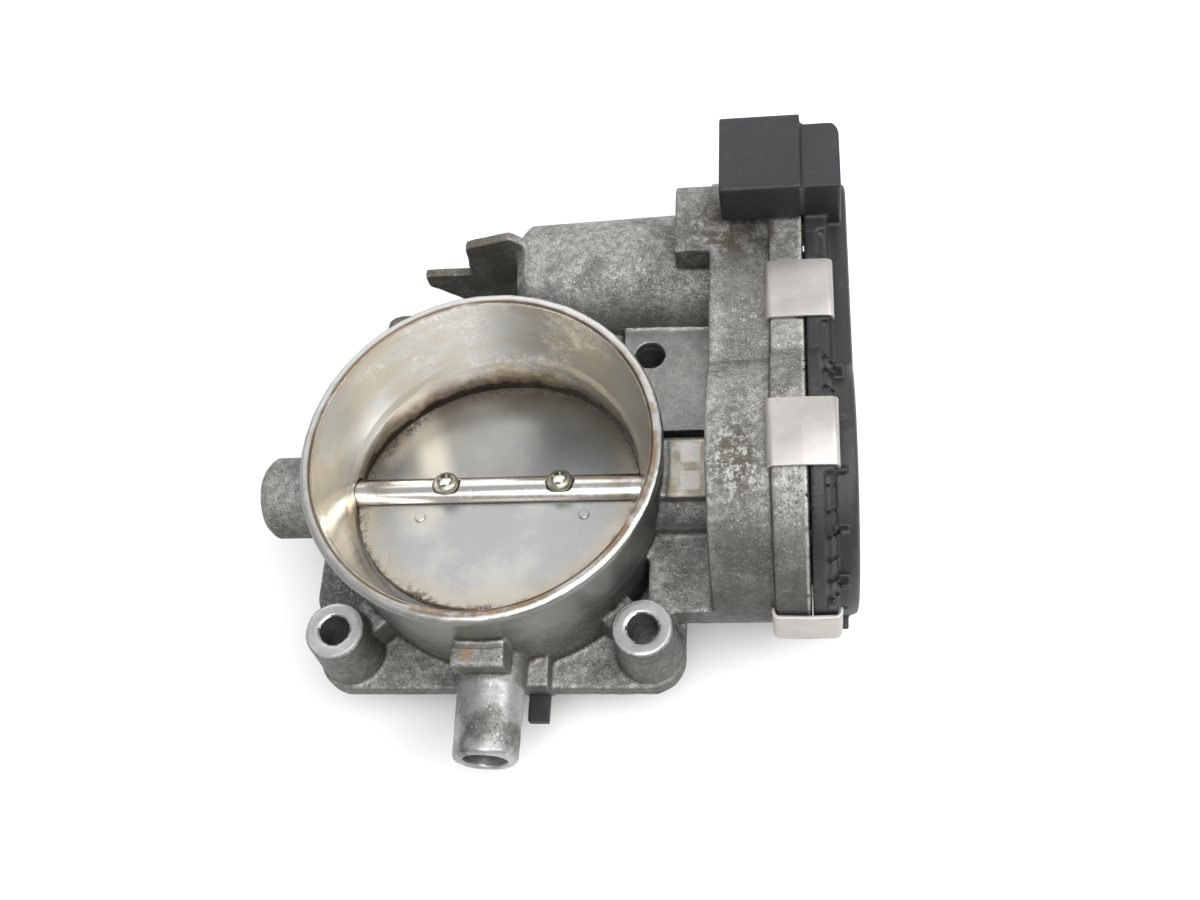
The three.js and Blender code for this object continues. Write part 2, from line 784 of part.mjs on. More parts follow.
function sectorGear() {
  const right = sectorX + sectorFace;
  const teeth = toothOutline(
    sectorTeeth,
    sectorModule,
    shaftCentre,
    trainAngle + sectorFirst * sectorPitch,
    sectorLast - sectorFirst + 1,
  );
  // The fan of teeth is closed behind the hub.
  const behind = trainAngle + ((sectorFirst + sectorLast) / 2) * sectorPitch + Math.PI;
  teeth.push([hubRadius * 0.8 * Math.cos(behind), shaftHeight + hubRadius * 0.8 * Math.sin(behind)]);
  const fan = prism(polygon(teeth), "x", sectorX, right);
  const tab = stopBar(stopX - 2, sectorX + 1, ...tabReach);
  const arm = stopBar(sectorX, right, hubRadius - 1, tabReach[1]);
  // Two windows lighten the web.
  const windows = [0.3, 0.7].map((share) => {
    const angle = trainAngle + (sectorFirst + share * (sectorLast - sectorFirst)) * sectorPitch;
    const reach = (hubRadius + sectorRadius) / 2;
    const place = [reach * Math.cos(angle), shaftHeight + reach * Math.sin(angle)];
    return rod("x", 4, sectorX - 1, right + 1, place, 16);
  });
  return cut(
    union(fan, tab, arm, rod("x", hubRadius, sectorX - 1, hubRight, shaftCentre, 32)),
    rod("x", clearanceRadius, sectorX - 2, hubRight + 1, shaftCentre, 24),
    ...windows,
  );
}

const nutRadius = clearanceRadius + 1.7; // over its corners

addPiece("sector_gear", sectorGear(), "gearPlastic");
addPiece(
  "gear_nut",
  cut(
    rod("x", nutRadius, hubRight + gap, hubRight + 2.6, shaftCentre, 6),
    rod("x", clearanceRadius, hubRight, hubRight + 3, shaftCentre, 24),
  ),
  "zincSteel",
);

function sensorRotor() {
  const left = hubRight + gap;
  const right = left + 1;
  const disc = ring("x", hubRadius, nutRadius + 1, left, right, shaftCentre, 28);
  const fingers = [0, 120, 240].map((turn) =>
    box(left, right, hubRadius - 1.5, hubRadius + 5, -2, 2)
      .rotate([turn, 0, 0])
      .translate([0, 0, shaftHeight]),
  );
  return union(disc, ...fingers);
}

addPiece("sensor_rotor", sensorRotor(), "copper");

const idlerBore = idlerPinRadius + gap;
const idlerRight = idlerLargeX + pinionFace;

function idlerGear() {
  const centre = [idlerY, idlerZ];
  // A gap of the small wheel faces the sector's tooth on the line between their centres.
  const smallPhase = trainAngle + Math.PI + Math.PI / idlerSmallTeeth;
  const small = prism(
    polygon(toothOutline(idlerSmallTeeth, sectorModule, centre, smallPhase)),
    "x",
    sectorX - 0.2,
    idlerLargeX + 0.5,
  );
  const large = prism(
    polygon(toothOutline(idlerLargeTeeth, motorModule, centre, trainAngle)),
    "x",
    idlerLargeX,
    idlerRight,
  );
  const hub = rod("x", idlerSmallRadius - 2, idlerBossRight + gap, idlerRight + 0.8, centre, 20);
  return cut(
    union(small, large, hub),
    rod("x", idlerBore, cavityLeft, idlerRight + 2, centre, 20),
  );
}

addPiece("idler_gear", idlerGear(), "gearPlastic");
addPiece(
  "idler_pin",
  rod("x", idlerPinRadius, idlerPinLeft, idlerRight + 2, [idlerY, idlerZ], 20),
  "steel",
);

// ---- motor ----
const motorEnd = cavityLeft; // the can's open end is flush with the case's floor
const canRight = motorEnd - gap - 2.4;
const motorShaftRight = idlerRight + 0.8;

addPiece(
  "motor_can",
  cut(
    rod("x", motorRadius, motorLeft, canRight, motorAxis, 32),
    rod("x", motorRadius - canWall, motorLeft + canWall, canRight + 1, motorAxis, 32),
  ),
  "darkSteel",
);

const magnetOuter = motorRadius - canWall - gap;
const magnetInner = magnetOuter - magnetThickness;
const magnetLeft = motorLeft + 8;
const magnetRight = canRight - 8;

function motorMagnet(middle) {
  const outline = polygon([
    ...arc(motorY, motorZ, magnetOuter, middle - 65, middle + 65, 10),
    ...arc(motorY, motorZ, magnetInner, middle + 65, middle - 65, 10),
  ]);
  return prism(outline, "x", magnetLeft, magnetRight);
}

addPiece("motor_magnet_front", motorMagnet(180), "ferrite");
addPiece("motor_magnet_rear", motorMagnet(0), "ferrite");

function motorArmature() {
  const outer = magnetInner - 0.6;
  const slots = Array.from({ length: 5 }, (_, i) =>
    box(magnetLeft, magnetRight, outer - 4, outer + 1, -0.8, 0.8)
      .rotate([72 * i + 36, 0, 0])
      .translate([0, motorY, motorZ]),
  );
  return cut(
    rod("x", outer, magnetLeft + 1, magnetRight - 1, motorAxis, 40),
    rod("x", motorShaftRadius + gap, magnetLeft, magnetRight, motorAxis, 16),
    ...slots,
  );
}

addPiece("motor_armature", motorArmature(), "darkSteel");
addPiece(
  "motor_commutator",
  ring("x", 4.4, motorShaftRadius + gap, magnetRight, canRight - 1.5, motorAxis, 20),
  "copper",
);
addPiece(
  "motor_shaft",
  rod("x", motorShaftRadius, motorLeft + canWall + gap, motorShaftRight, motorAxis, 16),
  "steel",
);

// The brush holder closes the can, and two blades run from it to the cover.
const bladeHalf = 2;
const bladeThickness = 0.8;
const bladePlaces = [-1, 1].map((side) => [motorY + 9, motorZ + side * 6]);
const plateLeft = cavityLeft + gap;
const plateRight = plateLeft + 1.5;

addPiece(
  "motor_brush_holder",
  ring("x", motorRadius, motorShaftRadius + gap, canRight + gap, motorEnd, motorAxis, 32),
  "blackPlastic",
);

function motorPlate() {
  const ears = prism(
    roundedRectangle(
      motorY - 4.5,
      motorY + 4.5,
      motorZ - motorScrewOffset - 3,
      motorZ + motorScrewOffset + 3,
      3,
    ),
    "x",
    plateLeft,
    plateRight,
  );
  return cut(
    union(rod("x", rearMargin - bodyWall - gap, plateLeft, plateRight, motorAxis, 32), ears),
    rod("x", 4, plateLeft - 1, plateRight + 1, motorAxis, 20),
    rod("x", idlerBossRadius + gap, plateLeft - 1, plateRight + 1, [idlerY, idlerZ], 24),
    ...motorScrewPlaces.map((place) =>
      rod("x", motorScrewRadius + gap, plateLeft - 1, plateRight + 1, place, 12),
    ),
    ...bladePlaces.map(([y, z]) =>
      box(plateLeft - 1, plateRight + 1, y - bladeHalf - 1, y + bladeHalf + 1, z - 1.4, z + 1.4),
    ),
  );
}

addPiece("motor_plate", motorPlate(), "zincSteel");

motorScrewPlaces.forEach((place, i) => {
  const head = plateRight + gap;
  const screw = union(
    rod("x", motorScrewRadius, caseLeft + 1, head + 0.1, place, 12),
    rod("x", 2.5, head, head + 1.8, place, 16),
  );
  addPiece(`motor_screw_${i + 1}`, cut(screw, rod("x", 1.1, head + 0.8, head + 3, place, 6)), "zincSteel");
});

const pinionPhase = trainAngle + Math.PI + Math.PI / pinionTeeth;
addPiece(
  "motor_pinion",
  cut(
    prism(
      polygon(toothOutline(pinionTeeth, motorModule, motorAxis, pinionPhase)),
      "x",
      idlerLargeX,
      idlerRight,
    ),
    rod("x", motorShaftRadius + gap, idlerLargeX - 1, idlerRight + 1, motorAxis, 16),
  ),
  "brass",
);

const domeInside = drumRadius + flangeGrow - domeInset - coverWall;
const boardHalf = (domeInside - boardMargin - boardCorner) * Math.SQRT1_2 + boardCorner;
const bladeRight = boardX + 0.6;
bladePlaces.forEach(([y, z], i) =>
  addPiece(
    `motor_terminal_${i + 1}`,
    box(plateLeft, bladeRight, y - bladeHalf, y + bladeHalf, z - bladeThickness / 2, z + bladeThickness / 2),
    "brass",
  ),
);

// ---- springs and the stop ----

// The torsion spring round the throttle shaft, between the case's floor and the sector gear.
class HelixCurve extends THREE.Curve {
  constructor(radius, left, right, turns) {
    super();
    Object.assign(this, { radius, left, right, turns });
  }
  getPoint(t, target = new THREE.Vector3()) {
    const angle = 2 * Math.PI * this.turns * t;
    return target.set(
      THREE.MathUtils.lerp(this.left, this.right, t),
      this.radius * Math.cos(angle),
      shaftHeight + this.radius * Math.sin(angle),
    );
  }
}

function returnSpring() {
  const left = springBossRight + springWire;
  const right = sectorX - 1 - springWire;
  const section = new THREE.Shape();
  section.absarc(0, 0, springWire, 0, 2 * Math.PI);
  const geometry = new THREE.ExtrudeGeometry(section, {
    steps: Math.round(springTurns * 16),
    curveSegments: 3,
    extrudePath: new HelixCurve(hubRadius + 2.5, left, right, springTurns),
  });
  return solid(geometry);
}

// The screw's tip just meets the tab when the throttle is closed.
const closedTab = THREE.MathUtils.degToRad(closedTabAngle);
const tabFace = (stopRadius - stopScrewRadius) * Math.cos(closedTab) - stopTabHalf * Math.sin(closedTab);
const stopTip = tabFace + gap;
const stopScrewEnd = stopBlock.rear + 1;

addPiece("return_spring", returnSpring(), "steel");
addPiece(
  "stop_screw",
  cut(
    rod("y", stopScrewRadius, stopTip, stopScrewEnd, [stopZ, stopX], 16),
    rod("y", 1, stopScrewEnd - 2.5, stopScrewEnd + 1, [stopZ, stopX], 6),
  ),
  "darkSteel",
);

// ---- cover, with its connector ----
const socketLeft = jointX - socketLength + 0.2;
const socketFront = motorY - 1.6;
const socketRear = socketFront + socketWidth;
const socketBottom = caseTop + flangeGrow + jointGap;
const socketTop = socketBottom + socketHeight;

function coverRibs() {
  // Small gussets between the flange and the dome, round the drum's front half.
  const angles = Array.from({ length: 10 }, (_, i) => 62 + 24 * i);
  const ribs = angles.map((angle) =>
    box(domeLeft - 0.5, domeLeft + 2.6, clipReach - domeInset - 1, clipReach - 0.8, -0.6, 0.6)
      .rotate([angle, 0, 0])
      .translate([0, 0, shaftHeight]),
  );
  const legRoom = clipPlaces.map((place) =>
    atClip(
      box(domeLeft, domeLeft + 4, place.reach - domeInset + gap, place.reach + 4,
        -clipLength / 2 - 1, clipLength / 2 + 1),
      place,
    ),
  );
  return cut(union(...ribs), ...legRoom);
}

function connectorShell() {
  const block = prism(
    roundedRectangle(socketFront, socketRear, socketBottom, socketTop, 0.8, 2),
    "x",
    socketLeft,
    jointX + 0.2,
  );
  // The arm drops from the connector's closed end to the cover behind the joint.
  const arm = prism(
    polygon([
      [socketFront + 2, caseTop - 4],
      [socketRear - 3.5, caseTop - 4],
      [socketRear - 1, caseTop + 2],
      [socketRear - 1, socketTop - 2.6],
      [socketFront + 1, socketTop - 1.4],
      [socketFront + 1, socketBottom],
    ]),
    "x",
    coverLeft,
    coverRight - 1.4,
  );
  const neck = box(
    jointX - 0.4,
    coverLeft + 1,
    socketFront + 1,
    socketRear - 1,
    socketBottom,
    socketTop - 2.6,
  );
  return union(block, arm, neck);
}

// Two rows of pins stand at the back of the socket.
const pinPlaces = Array.from({ length: pinCount }, (_, i) => {
  const column = i % (pinCount / 2);
  const row = Math.floor(i / (pinCount / 2));
  return [
    (socketFront + socketRear) / 2 + (column - (pinCount / 2 - 1) / 2) * pinPitch,
    (socketBottom + socketTop) / 2 + (row - 0.5) * pinRowPitch,
  ];
});
const pinLeft = socketLeft + 4.8;
const pinRight = socketLeft + socketDepth + 3;

function pinBox([y, z], size, from, to) {
  return box(from, to, y - size / 2, y + size / 2, z - size / 2, z + size / 2);
}

function cover() {
  const rim = caseSlab(flangeGrow, coverLeft, domeLeft);
  const dome = roundedCaseSlab(flangeGrow - domeInset, domeLeft - 2, coverRight, domeRound);
  const body = cut(
    union(rim, dome, coverRibs()),
    ...clipSeats(),
  );
  const inside = union(
    caseSlab(flangeGrow - flangeWall, coverLeft - 1, coverLeft + coverFlangeWidth - coverWall),
    caseSlab(flangeGrow - domeInset - coverWall, coverLeft - 1, coverRight - coverWall),
  );
  const socket = box(
    socketLeft - 1,
    socketLeft + socketDepth,
    socketFront + socketWall,
    socketRear - socketWall,
    socketBottom + socketWall,
    socketTop - socketWall,
  );
  return cut(
    union(body, connectorShell()),
    inside,
    socket,
    ...pinPlaces.map((place) => pinBox(place, pinSize + 2 * gap, socketLeft + 4, pinRight + gap)),
  );
}

addPiece("cover", cover(), "blackPlastic");
addPiece(
  "cover_gasket",
  cut(
    caseSlab(gasketOutside, jointX - gasketDepth + gap, jointX + 0.2),
    caseSlab(gasketOutside - gasketWidth, jointX - gasketDepth, jointX + 1),
  ),
  "rubber",
);
addPiece(
  "sensor_board",
  cut(
    prism(
      roundedRectangle(-boardHalf, boardHalf, shaftHeight - boardHalf, shaftHeight + boardHalf, boardCorner),
      "x",
      boardX,
      boardX + boardThickness,
    ),
    rod("x", 2, boardX - 1, boardX + 3, shaftCentre, 16),
  ),
  "board",
);
pinPlaces.forEach((place, i) =>
  addPiece(`terminal_pin_${i + 1}`, pinBox(place, pinSize, pinLeft, pinRight), "brass"),
);

// ---- spring clips across the joint ----
function springClip(place) {
  const inner = place.reach - clipSeatDepth + gap;
  const outer = inner + clipThickness;
  const left = flangeLeft - gap - clipThickness;
  const right = domeLeft + gap + clipThickness;
  // The profile, as [outward distance, x], is a channel with rounded shoulders.
  const profile = [
    [inner - clipLeg, left],
    [outer - clipBend, left],
    [outer - clipBend * 0.3, left + clipBend * 0.3],
    [outer, left + clipBend],
    [outer, right - clipBend],
    [outer - clipBend * 0.3, right - clipBend * 0.3],
    [outer - clipBend, right],
    [inner - clipLeg, right],
    [inner - clipLeg, right - clipThickness],
    [inner, right - clipThickness],
    [inner, left + clipThickness],
    [inner - clipLeg, left + clipThickness],
  ];
  const shape = polygon(profile.map(([n, x]) => [x, n]));
  return atClip(prism(shape, "z", -clipLength / 2, clipLength / 2), place);
}

for (const place of clipPlaces) {
  addPiece(`spring_clip_${place.name}`, springClip(place), "springSteel");
}

// ---- flange seal, with the tab that shows beside the nipple ----
function flangeSeal() {
  const { left, right, front, height } = sealTab;
  const bead = ring("z", sealOuter - gap, sealInner + gap, 0.1, sealDepth - gap, [0, 0], 56);
  const tab = box(left, right, front, -sealInner - 1.2, 0.1, height);
  return union(bead, tab);
}

addPiece("flange_seal", flangeSeal(), "rubber");

export default throttleBody;
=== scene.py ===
# Electronic throttle body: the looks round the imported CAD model. Metres, +Z up the duct.
import json
import math

import bmesh
import bpy
import numpy as np
from mathutils import Matrix, Vector, noise


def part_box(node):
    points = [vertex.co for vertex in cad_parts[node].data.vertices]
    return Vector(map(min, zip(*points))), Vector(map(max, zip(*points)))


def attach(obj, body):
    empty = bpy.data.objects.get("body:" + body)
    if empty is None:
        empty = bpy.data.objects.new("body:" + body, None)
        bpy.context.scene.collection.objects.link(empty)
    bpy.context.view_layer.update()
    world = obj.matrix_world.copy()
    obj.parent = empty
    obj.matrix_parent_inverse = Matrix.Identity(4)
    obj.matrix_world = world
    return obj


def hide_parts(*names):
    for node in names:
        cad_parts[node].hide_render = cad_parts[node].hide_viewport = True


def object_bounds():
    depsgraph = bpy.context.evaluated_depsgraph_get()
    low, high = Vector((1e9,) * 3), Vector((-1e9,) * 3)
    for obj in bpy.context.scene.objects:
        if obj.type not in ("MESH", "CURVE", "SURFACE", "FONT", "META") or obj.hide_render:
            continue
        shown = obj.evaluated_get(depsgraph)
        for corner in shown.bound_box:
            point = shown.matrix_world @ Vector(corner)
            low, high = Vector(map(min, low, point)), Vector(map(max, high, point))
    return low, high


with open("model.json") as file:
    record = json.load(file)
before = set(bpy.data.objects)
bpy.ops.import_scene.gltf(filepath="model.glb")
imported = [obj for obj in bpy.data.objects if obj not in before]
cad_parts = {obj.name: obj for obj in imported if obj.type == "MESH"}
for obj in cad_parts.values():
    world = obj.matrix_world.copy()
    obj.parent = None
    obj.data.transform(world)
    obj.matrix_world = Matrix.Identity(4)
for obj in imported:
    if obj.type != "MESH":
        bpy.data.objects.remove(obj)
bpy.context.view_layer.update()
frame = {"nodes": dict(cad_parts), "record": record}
nodes = frame["nodes"]
bodyOf = {
    node: body
    for body, members in frame["record"]["behaviour"]["bodies"].items()
    for node in members
}
scene = bpy.context.scene
mm = 0.001

# Places that several pieces share, as in the CAD model
duct = {
    "shaftHeight": 19 * mm,
    "restTilt": math.radians(13),
    "boltX": 35.1 * mm,
    "boltY": 34.3 * mm,
}
case = {
    "drumRadius": 30.6 * mm,
    "boxTop": 42 * mm,
    "boxBottom": -2 * mm,
    "boxRear": 73.99 * mm,
    "boxCorner": 8 * mm,
    "motorY": 57.591 * mm,
    "motorZ": 20 * mm,
    "clipOnBox": 24.5 * mm,
    "clipOnDrum": 33.1 * mm,
    "clipOnRear": 18.9 * mm,
}
boxClipY = case["motorY"] - 20.5 * mm
# Each clip's [y, z] starting point, the angle of its outward normal and the distance along it
clipPlaces = [
    (boxClipY, case["motorZ"], 90, case["clipOnBox"]),
    (0, duct["shaftHeight"], 96, case["clipOnDrum"]),
    (0, duct["shaftHeight"], 184, case["clipOnDrum"]),
    (0, duct["shaftHeight"], 264, case["clipOnDrum"]),
    (boxClipY, case["motorZ"], -90, case["clipOnBox"]),
    (case["motorY"], case["motorZ"] - 6 * mm, 0, case["clipOnRear"]),
]


# Mesh helpers
def bakedMesh(thing):
    bpy.context.view_layer.update()
    depsgraph = bpy.context.evaluated_depsgraph_get()
    return bpy.data.meshes.new_from_object(thing.evaluated_get(depsgraph))


def addObject(name, mesh):
    thing = bpy.data.objects.new(name, mesh)
    scene.collection.objects.link(thing)
    return thing


def dropObject(thing):
    mesh = thing.data
    bpy.data.objects.remove(thing)
    bpy.data.meshes.remove(mesh)


def weldedCopy(name, node, within=2e-6):
    work = addObject(name, nodes[node].data.copy())
    mesh = bmesh.new()
    mesh.from_mesh(work.data)
    bmesh.ops.remove_doubles(mesh, verts=mesh.verts, dist=within)
    mesh.to_mesh(work.data)
    mesh.free()
    return work


# A piece of the object: its mesh, the body it rides on, its finish and the CAD nodes it stands for
def addPiece(name, mesh, material, slot, *replaced):
    piece = addObject(name, mesh)
    mesh.materials.clear()
    mesh.materials.append(material)
    mesh.polygons.foreach_set("material_index", [0] * len(mesh.polygons))
    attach(piece, bodyOf[replaced[0]])
    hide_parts(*replaced)


def shadeSmooth(mesh, angle=None):
    mesh.polygons.foreach_set("use_smooth", [True] * len(mesh.polygons))
    if angle is not None:
        mesh.set_sharp_from_angle(angle=math.radians(angle))


# A closed solid turned about the X axis through a centre, from [x, radius] points
def turnedMesh(name, profile, centre, steps=96):
    mesh = bmesh.new()
    rings = []
    for x, radius in profile:
        if radius == 0:
            rings.append([mesh.verts.new((x, *centre))])
            continue
        rings.append([
            mesh.verts.new((
                x,
                centre[0] + radius * math.cos(2 * math.pi * i / steps),
                centre[1] + radius * math.sin(2 * math.pi * i / steps),
            ))
            for i in range(steps)
        ])
    for a, b in zip(rings, rings[1:]):
        for i in range(steps):
            j = (i + 1) % steps
            corners = [a[i % len(a)], a[j % len(a)], b[j % len(b)], b[i % len(b)]]
            mesh.faces.new(list(dict.fromkeys(corners)))
    bmesh.ops.recalc_face_normals(mesh, faces=mesh.faces)
    result = bpy.data.meshes.new(name)
    mesh.to_mesh(result)
    mesh.free()
    return result


# An outline of [y, z] points extruded along X
def prismMesh(name, outline, left, right):
    mesh = bmesh.new()
    face = mesh.faces.new([mesh.verts.new((left, y, z)) for y, z in outline])
    grown = bmesh.ops.extrude_face_region(mesh, geom=[face])["geom"]
    moved = [v for v in grown if isinstance(v, bmesh.types.BMVert)]
    bmesh.ops.translate(mesh, vec=(right - left, 0, 0), verts=moved)
    bmesh.ops.recalc_face_normals(mesh, faces=mesh.faces)
    result = bpy.data.meshes.new(name)
    mesh.to_mesh(result)
    mesh.free()
    return result


def boxMesh(name, low, high):
    mesh = bmesh.new()
    bmesh.ops.create_cube(mesh, size=1)
    middle = [(a + b) / 2 for a, b in zip(low, high)]
    size = [b - a for a, b in zip(low, high)]
    bmesh.ops.transform(
        mesh,
        matrix=Matrix.Translation(middle) @ Matrix.Diagonal((*size, 1)),
        verts=mesh.verts,
    )
    result = bpy.data.meshes.new(name)
    mesh.to_mesh(result)
    mesh.free()
    return result


def cutWith(thing, cutter):
    modifier = thing.modifiers.new("cut", "BOOLEAN")
    modifier.operation = "DIFFERENCE"
    modifier.solver = "EXACT"
    modifier.object = cutter
    mesh = bakedMesh(thing)
    thing.modifiers.clear()
    thing.data = mesh
    dropObject(cutter)


# Moves points that lie near a round face onto it. The profile is [place along the axis, radius].
def snapRound(points, axis, centre, profile, reach=0.32 * mm):
    across = [i for i in range(3) if i != axis]
    offset = points[:, across] - np.array(centre)
    radius = np.maximum(np.hypot(offset[:, 0], offset[:, 1]), 1e-9)
    along, radii = np.array(profile).T
    target = np.interp(points[:, axis], along, radii)
    place = points[:, axis]
    near = (abs(radius - target) < reach) & (place > along[0]) & (place < along[-1])
    for i, k in enumerate(across):
        points[near, k] = centre[i] + offset[near, i] * (target / radius)[near]
    return near


# A fine skin over a CAD solid: its edges rounded and its round faces true. Where the sizes give
# waves, its cast faces are a little uneven.
def castMesh(work, name, sizes, roundFaces=()):
    corners = np.array(work.bound_box)
    remesh = work.modifiers.new("skin", "REMESH")
    remesh.mode = "VOXEL"
    remesh.voxel_size = sizes["voxel"]
    smooth = work.modifiers.new("rounding", "SMOOTH")
    smooth.factor = 0.5
    smooth.iterations = sizes["rounding"]
    mesh = bakedMesh(work)
    points = np.empty(len(mesh.vertices) * 3)
    mesh.vertices.foreach_get("co", points)
    points = points.reshape(-1, 3)
    machined = np.zeros(len(points), bool)
    for face in roundFaces:
        machined |= snapRound(points, *face)
    if "waveHeight" in sizes:
        normals = np.empty(len(points) * 3)
        mesh.vertex_normals.foreach_get("vector", normals)
        normals = normals.reshape(-1, 3)
        rough = np.flatnonzero(~machined)
        lift = np.array([noise.noise(Vector(points[i]) * sizes["wavesPerMetre"]) for i in rough])
        points[rough] += normals[rough] * (lift * sizes["waveHeight"])[:, None]
    points = np.clip(points, corners.min(axis=0), corners.max(axis=0))
    mesh.vertices.foreach_set("co", points.ravel())
    dropObject(work)
    fine = addObject(name + "Fine", mesh)
    decimate = fine.modifiers.new("thin", "DECIMATE")
    decimate.ratio = min(1.0, sizes["triangles"] / (2 * len(mesh.polygons)))
    weighted = fine.modifiers.new("normals", "WEIGHTED_NORMAL")
    weighted.weight = 60
    mesh.polygons.foreach_set("use_smooth", [True] * len(mesh.polygons))
    result = bakedMesh(fine)
    result.name = name
    dropObject(fine)
    print(name, len(result.polygons), "faces")
    return result


# Material helpers
def addNode(tree, kind, inputs=None, **settings):
    node = tree.nodes.new(kind)
    for key, value in settings.items():
        setattr(node, key, value)
    for key, value in (inputs or {}).items():
        if isinstance(value, bpy.types.NodeSocket):
            tree.links.new(value, node.inputs[key])
        else:
            node.inputs[key].default_value = value
    return node


def mathNode(tree, operation, *values):
    return addNode(tree, "ShaderNodeMath", dict(enumerate(values)), operation=operation).outputs[0]


# One material. Its methods add nodes and give their outputs, and finish gives the material
class Paint:
    def __init__(self, name):
        self.material = bpy.data.materials.new(name)
        self.material.use_nodes = True
        self.tree = self.material.node_tree
        self.tree.nodes.clear()
        self.place = addNode(self.tree, "ShaderNodeTexCoord").outputs["Object"]
        split = addNode(self.tree, "ShaderNodeSeparateXYZ", {0: self.place})
        self.x, self.y, self.z = split.outputs
        facing = addNode(self.tree, "ShaderNodeTexCoord").outputs["Normal"]
        self.up = addNode(self.tree, "ShaderNodeSeparateXYZ", {0: facing}).outputs[2]

    def math(self, operation, a, b=0.0):
        return mathNode(self.tree, operation, a, b)

    def product(self, *values):
        result = values[0]
        for value in values[1:]:
            result = self.math("MULTIPLY", result, value)
        return result

    def most(self, *values):
        result = values[0]
        for value in values[1:]:
            result = self.math("MAXIMUM", result, value)
        return result

    def reach(self, *values):  # the length of a vector with these parts
        total = self.math("MULTIPLY", values[0], values[0])
        for value in values[1:]:
            total = self.math("ADD", total, self.math("MULTIPLY", value, value))
        return self.math("SQRT", total)

    def fade(self, value, start, end, low=0.0, high=1.0):
        inputs = {0: value, 1: start, 2: end, 3: low, 4: high}
        if start > end:
            inputs = {0: value, 1: end, 2: start, 3: high, 4: low}
        return addNode(self.tree, "ShaderNodeMapRange", inputs, interpolation_type="SMOOTHSTEP").outputs[0]

    def band(self, value, low, high, soft):
        rise = self.fade(value, low - soft, low + soft)
        fall = self.fade(value, high + soft, high - soft)
        return self.product(rise, fall)

    def noise(self, scale, detail=3.0, roughness=0.55, place=None, stretch=None):
        place = place or self.place
        if stretch:
            mapping = addNode(self.tree, "ShaderNodeMapping", {"Vector": place, "Scale": stretch})
            place = mapping.outputs[0]
        inputs = {"Vector": place, "Scale": scale, "Detail": detail, "Roughness": roughness}
        return addNode(self.tree, "ShaderNodeTexNoise", inputs).outputs["Fac"]

    def cells(self, scale):
        inputs = {"Vector": self.place, "Scale": scale, "Randomness": 1.0}
        return addNode(self.tree, "ShaderNodeTexVoronoi", inputs).outputs["Distance"]

    def mix(self, factor, a, b):
        node = addNode(self.tree, "ShaderNodeMix", {0: factor}, data_type="RGBA", clamp_factor=True)
        for index, value in ((6, a), (7, b)):
            if isinstance(value, bpy.types.NodeSocket):
                self.tree.links.new(value, node.inputs[index])
            else:
                node.inputs[index].default_value = (*value, 1)
        return node.outputs[2]

    def level(self, factor, a, b):
        return addNode(self.tree, "ShaderNodeMix", {0: factor, 2: a, 3: b}, clamp_factor=True).outputs[0]

    def finish(self, colour, metallic, roughness, height=None, depth=0.1 * mm, strength=1.0):
        inputs = {"Metallic": metallic, "Roughness": roughness}
        inputs["Base Color"] = colour if isinstance(colour, bpy.types.NodeSocket) else (*colour, 1)
        if height is not None:
            bumps = {"Height": height, "Distance": depth, "Strength": strength}
            inputs["Normal"] = addNode(self.tree, "ShaderNodeBump", bumps).outputs[0]
        shader = addNode(self.tree, "ShaderNodeBsdfPrincipled", inputs)
        output = addNode(self.tree, "ShaderNodeOutputMaterial")
        self.tree.links.new(shader.outputs[0], output.inputs[0])
        return self.material


# The housing's cast and machined aluminium
castLooks = {
    "light": (0.38, 0.38, 0.36),
    "mid": (0.215, 0.215, 0.20),
    "dark": (0.070, 0.070, 0.062),
    "fleck": (0.80, 0.80, 0.78),
    "grimeAndShade": (0.060, 0.050, 0.038),
    "bore": (0.90, 0.885, 0.84),
    "boreWarm": (0.84, 0.76, 0.60),
    "varnish": (0.22, 0.14, 0.065),
    "soot": (0.018, 0.013, 0.009),
    "machined": (0.58, 0.58, 0.57),
    "machinedDark": (0.40, 0.40, 0.39),
    "turningMark": (0.50, 0.47, 0.43),
    "stain": (0.36, 0.25, 0.13),
    "rimStain": (0.27, 0.18, 0.095),
    "rimLine": (0.10, 0.062, 0.030),
    "underBarrelShade": (0.075, 0.060, 0.042),
    "frontShade": (0.085, 0.082, 0.070),
    "sideWallShade": (0.050, 0.048, 0.040),
    "rubbedAndLitEdge": (0.55, 0.55, 0.53),
    "padTop": (0.34, 0.34, 0.33),
    "nipple": (0.42, 0.42, 0.42),
    "upperWall": (0.25, 0.25, 0.24),
    "jointEdge": (0.50, 0.49, 0.45),
    "bossPadDark": (0.42, 0.37, 0.28),
    "bossPadLight": (0.60, 0.58, 0.52),
    "square": (0.66, 0.66, 0.64),
}
